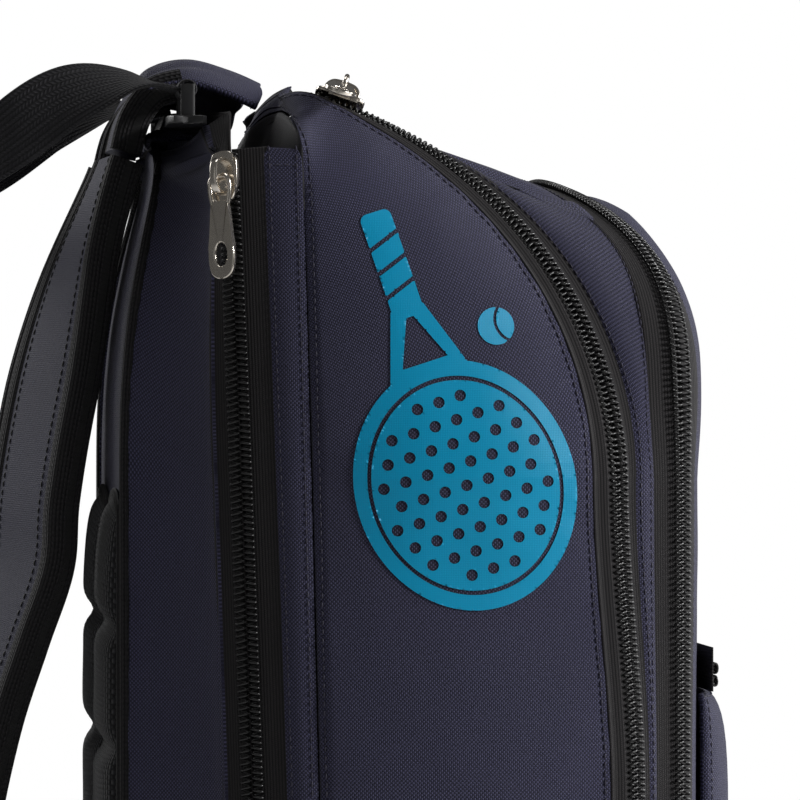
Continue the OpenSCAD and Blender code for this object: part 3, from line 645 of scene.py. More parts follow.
def rib_group() -> bpy.types.NodeTree:
    """Ribs across a webbing or tape, broken up into woven picks."""
    group, kit, gin, gout = new_group(
        "ribbed_weave", [("Vector", VECTOR, None), ("Rib", FLOAT, 0.0016), ("Pick", FLOAT, 0.0011),
                         ("Slant", FLOAT, 0.5)],
        [("Height", FLOAT), ("Groove", FLOAT)])
    split = kit.node("ShaderNodeSeparateXYZ")
    kit.feed(split.inputs[0], gin.outputs["Vector"])
    u = kit.math("DIVIDE", split.outputs[0], gin.outputs["Rib"])
    rib = kit.math("ABSOLUTE", kit.math("SINE", kit.math("MULTIPLY", u, math.pi)))
    turn = kit.math("FLOORED_MODULO", kit.math("FLOOR", u), 2.0)
    lean = kit.math("MULTIPLY", kit.math("MULTIPLY", kit.math("FRACT", u), gin.outputs["Slant"]),
                    kit.math("MULTIPLY_ADD", turn, 2.0, -1.0))
    v = kit.math("ADD", kit.math("DIVIDE", split.outputs[1], gin.outputs["Pick"]), lean)
    pick = kit.math("ABSOLUTE", kit.math("SINE", kit.math("MULTIPLY", v, math.pi)))
    height = kit.math("MULTIPLY", rib, kit.math("MULTIPLY_ADD", pick, 0.6, 0.4))
    kit.feed(gout.inputs["Height"], height)
    kit.feed(gout.inputs["Groove"], kit.math("SUBTRACT", 1.0, rib))
    return group


def soil_group() -> bpy.types.NodeTree:
    """Painted fold shade and dust as a slow colour drift, and fine lint over cloth."""
    group, kit, gin, gout = new_group(
        "fold_shade_and_dust_drift", [("Vector", VECTOR, None), ("Size", FLOAT, 14.0)],
        [("Drift", FLOAT), ("Lint", FLOAT)])
    # Drift: slow noise used as painted fold shade and dust in the cloth colours.
    drift = kit.node("ShaderNodeTexNoise")
    kit.feed(drift.inputs["Vector"], gin.outputs["Vector"])
    kit.feed(drift.inputs["Scale"], gin.outputs["Size"])
    drift.inputs["Detail"].default_value = 4.0
    lint = kit.noise(gin.outputs["Vector"], 420.0, 2.0)
    kit.feed(gout.inputs["Drift"], drift.outputs[0])
    kit.feed(gout.inputs["Lint"], kit.math("GREATER_THAN", lint, 0.74))
    return group


def edge_wear_group() -> bpy.types.NodeTree:
    """Mask of exposed edges, broken up by noise."""
    group, kit, gin, gout = new_group(
        "edge_wear", [("Vector", VECTOR, None), ("Amount", FLOAT, 0.6)], [("Wear", FLOAT), ("Grain", FLOAT)])
    geo = kit.node("ShaderNodeNewGeometry")
    rub = kit.noise(gin.outputs["Vector"], 300.0, 4.0)
    point = kit.math("MULTIPLY", kit.math("SUBTRACT", geo.outputs["Pointiness"], 0.5), 8.0)
    wear = kit.math("MULTIPLY", kit.math("MAXIMUM", point, 0.0), gin.outputs["Amount"])
    kit.feed(gout.inputs["Wear"], kit.math("MINIMUM", kit.math("MULTIPLY", wear, rub), 1.0))
    kit.feed(gout.inputs["Grain"], rub)
    return group


GROUPS: Dict[str, bpy.types.NodeTree] = {}


def group_named(name: str) -> bpy.types.NodeTree:
    """Fetch a shared node group, building it on first use."""
    makers = {"weave": plain_weave_group, "rib": rib_group, "drift": soil_group,
              "wear": edge_wear_group}
    if name not in GROUPS:
        GROUPS[name] = makers[name]()
    return GROUPS[name]


def start_material(name: str) -> Tuple[bpy.types.Material, NodeKit, bpy.types.Node]:
    """Make a node material with one Principled shader."""
    mat = bpy.data.materials.new(name)
    mat.use_nodes = True
    mat.node_tree.nodes.clear()
    kit = NodeKit(mat.node_tree)
    shader = kit.node("ShaderNodeBsdfPrincipled")
    out = kit.node("ShaderNodeOutputMaterial")
    kit.feed(out.inputs["Surface"], shader.outputs[0])
    return mat, kit, shader


@dataclass(frozen=True)
class WovenFinish:
    """Plain-woven cloth."""

    name: str
    dark: Tuple[float, float, float]
    light: Tuple[float, float, float]
    thread: float = 0.7
    rough: float = 0.78
    bump_mm: float = 0.22
    sheen: float = 0.12
    specular: float = 0.28
    uneven: float = 0.35
    lint: float = 0.02

    def material(self) -> bpy.types.Material:
        """Build the cloth material."""
        mat, kit, shader = start_material(self.name)
        uv = kit.node("ShaderNodeUVMap", uv_map="fabric").outputs[0]
        weave = kit.node("ShaderNodeGroup", node_tree=group_named("weave"))
        kit.feed(weave.inputs["Vector"], uv)
        weave.inputs["Thread"].default_value = self.thread * MM
        weave.inputs["Uneven"].default_value = self.uneven
        drift = kit.node("ShaderNodeGroup", node_tree=group_named("drift"))
        kit.feed(drift.inputs["Vector"], kit.node("ShaderNodeTexCoord").outputs["Object"])
        # Painted highlight: the crowns of the upper warp threads take the light colour, with a random thread
        # tone added.
        lift = kit.math("MULTIPLY_ADD", weave.outputs["Upper Thread"], 0.85,
                        kit.math("MULTIPLY", weave.outputs["Thread Tone"], 0.3))
        cloth = kit.mix(lift, (*self.dark, 1), (*self.light, 1))
        # Painted fold shade and dust: the slow drift darkens and lightens the whole cloth colour.
        shade = kit.math("MULTIPLY_ADD", drift.outputs["Drift"], 0.35, 0.82)
        tone = kit.node("ShaderNodeMix", data_type="RGBA", blend_type="MULTIPLY")
        tone.inputs[0].default_value = 1.0
        kit.feed(tone.inputs[6], cloth)
        grey = kit.node("ShaderNodeCombineColor")
        for k in range(3):
            kit.feed(grey.inputs[k], shade)
        kit.feed(tone.inputs[7], grey.outputs[0])
        linted = kit.mix(kit.math("MULTIPLY", drift.outputs["Lint"], self.lint), tone.outputs[2],
                         (0.5, 0.5, 0.52, 1))
        kit.feed(shader.inputs["Base Color"], linted)
        kit.feed(shader.inputs["Roughness"],
                 kit.math("MULTIPLY_ADD", weave.outputs["Height"], -0.14, self.rough))
        bump = kit.node("ShaderNodeBump")
        bump.inputs["Distance"].default_value = self.bump_mm * MM
        bump.inputs["Strength"].default_value = 0.9
        kit.feed(bump.inputs["Height"], weave.outputs["Height"])
        kit.feed(shader.inputs["Normal"], bump.outputs[0])
        shader.inputs["Sheen Weight"].default_value = self.sheen
        shader.inputs["Sheen Roughness"].default_value = 0.45
        shader.inputs["Specular IOR Level"].default_value = self.specular
        return mat


@dataclass(frozen=True)
class RibbedFinish:
    """Webbing, zip tape or binding with ribs."""

    name: str
    dark: Tuple[float, float, float]
    light: Tuple[float, float, float]
    rib: float = 1.6
    pick: float = 1.1
    slant: float = 0.6
    rough: float = 0.62
    bump_mm: float = 0.35
    sheen: float = 0.05
    specular: float = 0.35

    def material(self) -> bpy.types.Material:
        """Build the webbing material."""
        mat, kit, shader = start_material(self.name)
        uv = kit.node("ShaderNodeUVMap", uv_map="fabric").outputs[0]
        rib = kit.node("ShaderNodeGroup", node_tree=group_named("rib"))
        kit.feed(rib.inputs["Vector"], uv)
        rib.inputs["Rib"].default_value = self.rib * MM
        rib.inputs["Pick"].default_value = self.pick * MM
        rib.inputs["Slant"].default_value = self.slant
        drift = kit.node("ShaderNodeGroup", node_tree=group_named("drift"))
        kit.feed(drift.inputs["Vector"], kit.node("ShaderNodeTexCoord").outputs["Object"])
        # Painted highlight and shade: rib crests take the light colour and the grooves stay dark, scaled by
        # the drift's painted fold shade and dust.
        factor = kit.math("MULTIPLY", rib.outputs["Height"],
                          kit.math("MULTIPLY_ADD", drift.outputs["Drift"], 0.8, 0.55))
        kit.feed(shader.inputs["Base Color"], kit.mix(factor, (*self.dark, 1), (*self.light, 1)))
        kit.feed(shader.inputs["Roughness"],
                 kit.math("MULTIPLY_ADD", rib.outputs["Groove"], 0.2, self.rough))
        bump = kit.node("ShaderNodeBump")
        bump.inputs["Distance"].default_value = self.bump_mm * MM
        kit.feed(bump.inputs["Height"], rib.outputs["Height"])
        kit.feed(shader.inputs["Normal"], bump.outputs[0])
        shader.inputs["Sheen Weight"].default_value = self.sheen
        shader.inputs["Specular IOR Level"].default_value = self.specular
        return mat


@dataclass(frozen=True)
class SolidFinish:
    """Moulded plastic or metal."""

    name: str
    color: Tuple[float, float, float]
    worn: Tuple[float, float, float]
    rough: float
    metallic: float = 0.0
    coat: float = 0.0
    grain_mm: float = 0.02

    def material(self) -> bpy.types.Material:
        """Build the plastic or metal material."""
        mat, kit, shader = start_material(self.name)
        where = kit.node("ShaderNodeTexCoord").outputs["Object"]
        wear = kit.node("ShaderNodeGroup", node_tree=group_named("wear"))
        kit.feed(wear.inputs["Vector"], where)
        kit.feed(shader.inputs["Base Color"],
                 kit.mix(wear.outputs["Wear"], (*self.color, 1), (*self.worn, 1)))
        kit.feed(shader.inputs["Roughness"],
                 kit.math("MULTIPLY_ADD", wear.outputs["Grain"], 0.12, self.rough - 0.05))
        bump = kit.node("ShaderNodeBump")
        bump.inputs["Distance"].default_value = self.grain_mm * MM
        bump.inputs["Strength"].default_value = 0.35
        kit.feed(bump.inputs["Height"], kit.noise(where, 2500.0, 2.0))
        kit.feed(shader.inputs["Normal"], bump.outputs[0])
        shader.inputs["Metallic"].default_value = self.metallic
        shader.inputs["Coat Weight"].default_value = self.coat
        return mat


@dataclass(frozen=True)
class FilmFinish:
    """Thin satin film pressed onto cloth, with the weave showing through."""

    name: str
    color: Tuple[float, float, float]
    deep: Tuple[float, float, float]
    thread: float = 0.6
    rough: float = 0.36

    def material(self) -> bpy.types.Material:
        """Build the film material."""
        mat, kit, shader = start_material(self.name)
        uv = kit.node("ShaderNodeUVMap", uv_map="fabric").outputs[0]
        weave = kit.node("ShaderNodeGroup", node_tree=group_named("weave"))
        kit.feed(weave.inputs["Vector"], uv)
        weave.inputs["Thread"].default_value = self.thread * MM
        drift = kit.node("ShaderNodeGroup", node_tree=group_named("drift"))
        kit.feed(drift.inputs["Vector"], kit.node("ShaderNodeTexCoord").outputs["Object"])
        # Painted highlight on the weave crowns under the film, and painted fold shade and dust from the
        # drift.
        factor = kit.math("MULTIPLY_ADD", weave.outputs["Height"], 0.5,
                          kit.math("MULTIPLY", drift.outputs["Drift"], 0.6))
        kit.feed(shader.inputs["Base Color"], kit.mix(factor, (*self.deep, 1), (*self.color, 1)))
        kit.feed(shader.inputs["Roughness"],
                 kit.math("MULTIPLY_ADD", drift.outputs["Drift"], 0.12, self.rough - 0.05))
        bump = kit.node("ShaderNodeBump")
        bump.inputs["Distance"].default_value = 0.05 * MM
        kit.feed(bump.inputs["Height"], weave.outputs["Height"])
        kit.feed(shader.inputs["Normal"], bump.outputs[0])
        shader.inputs["Specular IOR Level"].default_value = 0.3
        return mat


@dataclass
class Wardrobe:
    """Every finish of the bag, made once."""

    made: Dict[str, bpy.types.Material] = field(default_factory=dict)

    FINISHES = (
        WovenFinish("navy_oxford", (0.004, 0.004, 0.013), (0.088, 0.086, 0.170)),
        WovenFinish("navy_oxford_strap", (0.006, 0.006, 0.016), (0.10, 0.099, 0.172)),
        WovenFinish("black_lining", (0.003, 0.003, 0.004), (0.022, 0.02, 0.024), thread=0.35,
                    rough=0.6, bump_mm=0.06, sheen=0.02),
        WovenFinish("spacer_mesh", (0.003, 0.003, 0.004), (0.04, 0.04, 0.045), thread=1.9,
                    rough=0.85, bump_mm=0.8, uneven=0.1),
        RibbedFinish("zip_tape_cloth", (0.003, 0.003, 0.004), (0.019, 0.016, 0.017), rib=1.1,
                     pick=0.7, bump_mm=0.14, rough=0.72),
        RibbedFinish("ribbed_webbing", (0.002, 0.002, 0.003), (0.017, 0.016, 0.021), rib=1.9,
                     pick=1.5, slant=0.9, bump_mm=0.45),
        RibbedFinish("edge_binding", (0.002, 0.002, 0.003), (0.013, 0.011, 0.013), rib=1.3,
                     pick=1.9, slant=0.2, bump_mm=0.5, rough=0.7),
        SolidFinish("nylon_coil", (0.005, 0.0045, 0.005), (0.016, 0.016, 0.016), 0.34, coat=0.15),
        SolidFinish("acetal", (0.009, 0.009, 0.01), (0.03, 0.03, 0.03), 0.42),
        SolidFinish("board", (0.02, 0.02, 0.02), (0.05, 0.05, 0.05), 0.55),
        SolidFinish("nickel", (0.80, 0.74, 0.66), (0.86, 0.8, 0.7), 0.2, metallic=1.0),
        SolidFinish("navy_thread", (0.022, 0.02, 0.04), (0.06, 0.06, 0.08), 0.6),
        SolidFinish("black_thread", (0.008, 0.008, 0.009), (0.03, 0.03, 0.03), 0.6),
        FilmFinish("blue_film", (0.0, 0.36, 0.62), (0.0, 0.27, 0.50)),
    )

    def __post_init__(self) -> None:
        """Build every material."""
        for finish in self.FINISHES:
            self.made[finish.name] = finish.material()

    def dress(self, obj: bpy.types.Object, finish: str) -> None:
        """Give an object one finish."""
        obj.data.materials.clear()
        obj.data.materials.append(self.made[finish])


WARDROBE = Wardrobe()


def place_piece(obj: bpy.types.Object, finish: str, body: str,
                replaces: Sequence[str] = ()) -> bpy.types.Object:
    """Dress a piece and say what it rides on and stands for.

    Args:
        obj: the piece.
        finish: name of its finish.
        body: body that it moves with.
        replaces: CAD nodes that it stands for.

    Returns:
        The same piece.
    """
    WARDROBE.dress(obj, finish)
    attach(obj, body.value if isinstance(body, Body) else body)
    if replaces:
        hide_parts(*replaces)
    LOG.info("%s: %d faces on %s", obj.name, len(obj.data.polygons), body)
    return obj


# ---------------------------------------------------------------- cloth shell
@dataclass
class Cloth:
    """Bands of cloth between tracks, with soft folds and sewn edges."""

    tracks: Tracks
    thick: float = 3.6
    stitch_in: float = 2.6

    def room(self, g: Array, full: float) -> Array:
        """Share of a fold's height that each row has room for, 1 where the row is `full` mm wide."""
        return np.clip(np.linalg.norm(g[:, -1] - g[:, 0], axis=1) / full, 0, 1)[:, None] ** 1.5

    def folds(self, g: Array, normals: Array, amp: float, size: float, seed: float,
              edge: float = 0.12) -> Array:
        """Press soft folds into a grid, calm at its edges.

        Args:
            g: (rows, cols, 3) grid.
            normals: outward normals of the grid.
            amp: height of the folds in mm.
            size: length of the folds in mm.
            seed: start of the noise.
            edge: share of the width where folds fade out.

        Returns:
            The folded grid.
        """
        v = np.linspace(0, 1, g.shape[1])[None, :]
        calm = np.clip(v / edge, 0, 1) * np.clip((1 - v) / edge, 0, 1)
        calm = calm * self.room(g, 70.0)
        h = wave(g, size, seed) + 0.45 * wave(g, size * 0.37, seed + 9.0)
        return g + normals * (h * calm * amp)[:, :, None]

    def puckers(self, g: Array, normals: Array, amp: float, pitch: float, reach: float,
                seed: float, far_side: bool = False) -> Array:
        """Gather the cloth along one long edge in short waves."""
        from_edge = np.linalg.norm(np.diff(g, axis=1), axis=2)
        d = np.concatenate([np.zeros((g.shape[0], 1)), np.cumsum(from_edge, axis=1)], axis=1)
        if far_side:
            d = d[:, -1:] - d
        s = arc_length(g[:, 0])[:, None]
        drift = wave(g, pitch * 3.1, seed)
        h = np.sin((s / pitch + drift * 1.3) * 2 * math.pi) * np.exp(-d / reach) * np.clip(d / 1.5, 0, 1)
        return g + normals * (h * amp * self.room(g, 30.0))[:, :, None]

    def edge_line(self, g: Array, normals: Array, inset: float,
                  far_side: bool = False) -> Tuple[Array, Array]:
        """Path on a grid `inset` mm from one long edge, with its normals."""
        lines = g[:, ::-1] if far_side else g
        step = np.linalg.norm(np.diff(lines, axis=1), axis=2)
        d = np.concatenate([np.zeros((g.shape[0], 1)), np.cumsum(step, axis=1)], axis=1)
        path = np.stack([[np.interp(inset, d[i], lines[i, :, k]) for k in range(3)]
                         for i in range(g.shape[0])])
        edge = normals[:, -1] if far_side else normals[:, 0]
        return path, edge

    def rolled(self, g: Array, normals: Array, roll: float = 1.1) -> Array:
        """Turn a grid's two long edges down into soft hems."""
        step = np.linalg.norm(np.diff(g, axis=1), axis=2)
        d = np.concatenate([np.zeros((g.shape[0], 1)), np.cumsum(step, axis=1)], axis=1)
        near = np.minimum(d, d[:, -1:] - d)
        drop = roll * np.exp(-near / 1.0) - 0.45 * np.exp(-((near - self.stitch_in) / 0.7) ** 2) * -1
        return g - normals * (drop * self.room(g, 40.0))[:, :, None]


def fine_columns(cols: int, tight: float = 0.7) -> Array:
    """Column places from 0 to 1, closer together near both edges."""
    t = np.linspace(0, 1, cols + 1)
    return t - tight * np.sin(2 * math.pi * t) / (2 * math.pi)


@dataclass
class BagShell:
    """Main zone: side wall, plackets, lining, divider, base."""

    tracks: Tracks
    cloth: Cloth
    wall_cols: int = 44
    flat_under: float = 24.0
    lining: float = 1.2
    tray_edge: float = 95.0
    base_round: float = 14.0
    binding_r: float = 2.1

    def wall_grid(self) -> Tuple[Array, Array]:
        """Outer grid of the side wall, from the seam to the main zip's tape."""
        t = self.tracks
        a, b = t.seam, t.beside(t.main_zip, t.seam, t.tape_half, t.wall_tilt)
        v = fine_columns(self.wall_cols)[None, :, None]
        out = t.outward(a, b)[:, None, :]
        wide = np.linalg.norm(b - a, axis=1)
        calm = np.clip((wide - self.flat_under) / 20, 0, 1)
        high = (np.minimum(9.0, 0.12 * wide) * calm)[:, None, None]
        g = a[:, None, :] * (1 - v) + b[:, None, :] * v + out * high * 4 * v * (1 - v)
        return g, np.repeat(out, self.wall_cols + 1, axis=1)

    def side_wall(self) -> Array:
        """Build the side wall and its stitching; return its grid."""
        g, n = self.wall_grid()
        g = self.cloth.folds(g, n, 2.1, 110.0, 3.0)
        g = self.cloth.folds(g, n, 0.8, 44.0, 13.0)
        g = self.cloth.puckers(g, n, 0.35, 13.0, 9.0, 5.0)
        g = self.cloth.puckers(g, n, 0.4, 11.0, 9.0, 6.0, far_side=True)
        flat = g
        g = self.cloth.rolled(g, n)
        wall = sheet_piece("side_wall_cloth", g, self.tracks.sign(self.tracks.seam, self.tracks.main_zip),
                           self.cloth.thick)
        thin = wall.vertex_groups.new(name="room")
        for k, share in enumerate(np.repeat(self.cloth.room(flat, 60.0), g.shape[1])):
            thin.add([k], float(share), "REPLACE")
        wall.modifiers["thickness"].vertex_group = "room"
        place_piece(wall, "navy_oxford", Body.BAG, ["main_side_wall"])
        lines = [self.cloth.edge_line(flat, n, self.cloth.stitch_in),
                 self.cloth.edge_line(flat, n, self.cloth.stitch_in, far_side=True)]
        threads = stitch_piece("side_wall_stitches", lines)
        place_piece(threads, "navy_thread", Body.BAG)
        return flat

    def plackets(self) -> None:
        """Build the zip strip on each side, with its hem and stitches."""
        t = self.tracks
        cols = 12
        far = t.beside(t.side_zip, t.seam, t.tape_half)[:t.i_top + 1]
        seam = t.seam[:t.i_top + 1] + np.array([0, 0.4, 0])
        v = fine_columns(cols)[None, :, None]
        out = t.outward(t.seam, t.main_zip)[:t.i_top + 1, None, :]
        g = far[:, None] * (1 - v) + seam[:, None] * v + out * 1.3 * 4 * v * (1 - v)
        n = np.repeat(out, cols + 1, axis=1)
        g = self.cloth.folds(g, n, 0.5, 60.0, 31.0, edge=0.2)
        g = self.cloth.puckers(g, n, 0.3, 12.0, 7.0, 8.0)
        flat = g
        g = self.cloth.rolled(g, n, 0.9)
        top = arc_length(g[:, 0])
        tail = np.clip((top - (top[-1] - 5.0)) / 5.0, 0, 1)[:, None, None] ** 2
        g = g - n * tail * 1.6
        lines = [self.cloth.edge_line(flat, n, 2.2), self.cloth.edge_line(flat, n, 2.2, far_side=True)]
        row = int(np.argmin(np.abs(top - (top[-1] - 6.5))))
        lines.append((flat[row, 1:-1], n[row, 1:-1]))
        for side in Side:
            mine = sided(g, side)
            sign = 1.0 if side is Side.LEFT else -1.0
            strip = sheet_piece(f"placket_{side.word}", mine, sign, self.cloth.thick)
            place_piece(strip, "navy_oxford", Body.BAG, ["plackets"])
            sewn = [(sided(p, side), sided(q, side)) for p, q in lines]
            threads = stitch_piece(f"placket_stitches_{side.word}", sewn)
            place_piece(threads, "navy_thread", Body.BAG)

    def top_lining(self) -> None:
        """Build the black collar inside the racket opening."""
        t = self.tracks
        k = t.i_top - 8
        line = t.seam[k:len(t.seam) - k] + np.array([0, 0.4, -1.0])
        rows = []
        for v in np.linspace(0, 1, 14):
            x = line[:, 0] * (1 - 0.05 * v)
            y = line[:, 1] + 12 * v
            z = line[:, 2] - 30 * v ** 1.15
            rows.append(np.stack([x, y, z], axis=1))
        g = np.stack(rows, axis=1)
        ripple = wave(g, 26.0, 40.0)
        g[:, :, 1] += ripple * 1.2 * np.linspace(0, 1, 14)[None, :]
        obj = sheet_piece("racket_collar_lining", g, -1.0, self.lining)
        place_piece(obj, "black_lining", Body.BAG, ["racket_top_lining"])

    def divider(self) -> None:
        """Build the padded wall between the main compartment and the sleeve."""
        t = self.tracks
        stop = int(np.argmin(np.abs(t.rows - (t.top_row + t.n_corner))))
        a = t.seam[:stop + 1].copy()
        a += np.array([5.8, 2.5, 0.0])
        a[:, 2] -= 4.0 * np.array([smooth((z - t.arc_z) / 100) for z in t.seam[:stop + 1, 2]])
        v = np.linspace(0, 1, 25)[None, :, None]
        g = a[:, None] * (1 - v) + mirrored(a)[:, None] * v
        n = np.zeros_like(g)
        n[..., 1] = 1.0
        g = self.cloth.folds(g, n, 0.9, 70.0, 51.0)
        obj = sheet_piece("sleeve_divider", g, -1.0, 4.6)
        place_piece(obj, "black_lining", Body.BAG, ["divider_panel"])

    def base_outline(self) -> Array:
        """Outline of the base, from the middle of the front round to the front again."""
        t = self.tracks
        face_y = t.front_edge[0][1] - 13.0
        edge, fz, mz = t.front_edge[0], t.front_zip[0], t.main_zip[0]
        seam, sz, back = t.seam[0], t.side_zip[0], t.back_edge[0]
        half = catmull([[0, face_y, 0], [-t.front_half_w * 0.45, face_y + 0.5, 0],
                        [edge[0] + 4, edge[1] - 3, 0], [fz[0] - 2, fz[1], 0], [mz[0] - 7, mz[1], 0],
                        [seam[0] + 7, -15, 0], [seam[0], seam[1], 0], [sz[0], sz[1], 0],
                        [sz[0] * 0.4 + back[0] * 0.6, sz[1] * 0.32 + t.back_y * 0.68, 0],
                        [back[0], t.back_y, 0], [-t.back_half_w * 0.5, t.back_y, 0], [0, t.back_y, 0]], 9)
        return np.concatenate([half, mirrored(half[-2:0:-1])])

    def inset(self, line: Array, d: float, z: float) -> Array:
        """Move a closed outline inward by d and up to height z."""
        t = unit(np.roll(line, -1, axis=0) - np.roll(line, 1, axis=0))
        out = line + np.stack([t[:, 1] * d, -t[:, 0] * d, np.zeros(len(line))], axis=1)
        out[:, 2] = z
        return out

    def base(self) -> None:
        """Build the base tray, its bound rim and the stiffener board."""
        line = self.base_outline()
        rings = [self.inset(line, 3.4, self.tray_edge - 0.5), self.inset(line, 2.6, self.tray_edge + 0.2),
                 self.inset(line, 0.9, self.tray_edge), self.inset(line, 0.2, self.tray_edge - 1.2)]
        for z in np.linspace(self.tray_edge - 4, self.base_round + 2, 16):
            k = (z - self.base_round) / (self.tray_edge - self.base_round)
            rings.append(self.inset(line, -1.4 * math.sin(math.pi * k) ** 2 + 0.1, z))
        for a in np.radians(np.arange(0, 91, 9)):
            rings.append(self.inset(line, self.base_round * (1 - math.cos(a)),
                                    self.base_round * (1 - math.sin(a))))
        g = np.stack(rings, axis=0)
        mid = (g[:, :, 2] > 2) & (g[:, :, 2] < self.tray_edge - 5)
        n = g - g.mean(axis=1, keepdims=True)
        n[..., 2] = 0
        g = g + unit(n) * (wave(g, 50.0, 61.0) * 0.8 * mid)[:, :, None]
        rows, count = g.shape[:2]
        uv = np.stack([np.repeat(arc_length(line)[None, :], rows, axis=0),
                       np.repeat(arc_length(g[:, 0])[:, None], count, axis=1)], axis=2)
        faces: List[Sequence[int]] = list(grid_faces(rows, count, wrap=True))
        faces.append([(rows - 1) * count + j for j in range(count)])
        obj = mesh_piece("base_tray_cloth", g.reshape(-1, 3), faces, uv.reshape(-1, 2))
        solid = obj.modifiers.new("thickness", "SOLIDIFY")
        solid.thickness, solid.offset = 3.4 * MM, -1.0
        place_piece(obj, "navy_oxford", Body.BAG, ["base_tray"])
        seam = self.inset(line, 0.0, self.tray_edge - 9)
        normals = unit(np.stack([-np.gradient(seam[:, 1]), np.gradient(seam[:, 0]), 0 * seam[:, 0]], axis=1))
        normals *= -1
        lines = [(np.concatenate([seam, seam[:1]]), np.concatenate([normals, normals[:1]]))]
        threads = stitch_piece("base_tray_stitches", lines)
        place_piece(threads, "navy_thread", Body.BAG)
        rim = self.inset(line, 1.6, self.tray_edge + 0.2)
        rim = np.concatenate([rim, rim[:2]])
        up = np.tile(np.array([0.0, 0.0, 1.0]), (len(rim), 1))
        piping = sweep_piece("base_tray_piping", rim, up, oval(2 * self.binding_r, 3.4, 12, 0.9))
        place_piece(piping, "edge_binding", Body.BAG)
        board = self.inset(line * np.array([0.84, 0.84, 0]), 0.0, 4.4)
        lid = board + np.array([0, 0, 2.8])
        count = len(board)
        sheet = mesh_piece("base_board_sheet", np.concatenate([board, lid]),
                           [list(range(count))[::-1], [count + j for j in range(count)]]
                           + [[j, (j + 1) % count, count + (j + 1) % count, count + j] for j in range(count)],
                           smooth_faces=False)
        place_piece(sheet, "board", Body.BAG, ["base_board"])

    def build(self) -> Array:
        """Build every piece; return the wall's grid."""
        grid = self.side_wall()
        self.plackets()
        self.top_lining()
        self.divider()
        self.base()
        return grid


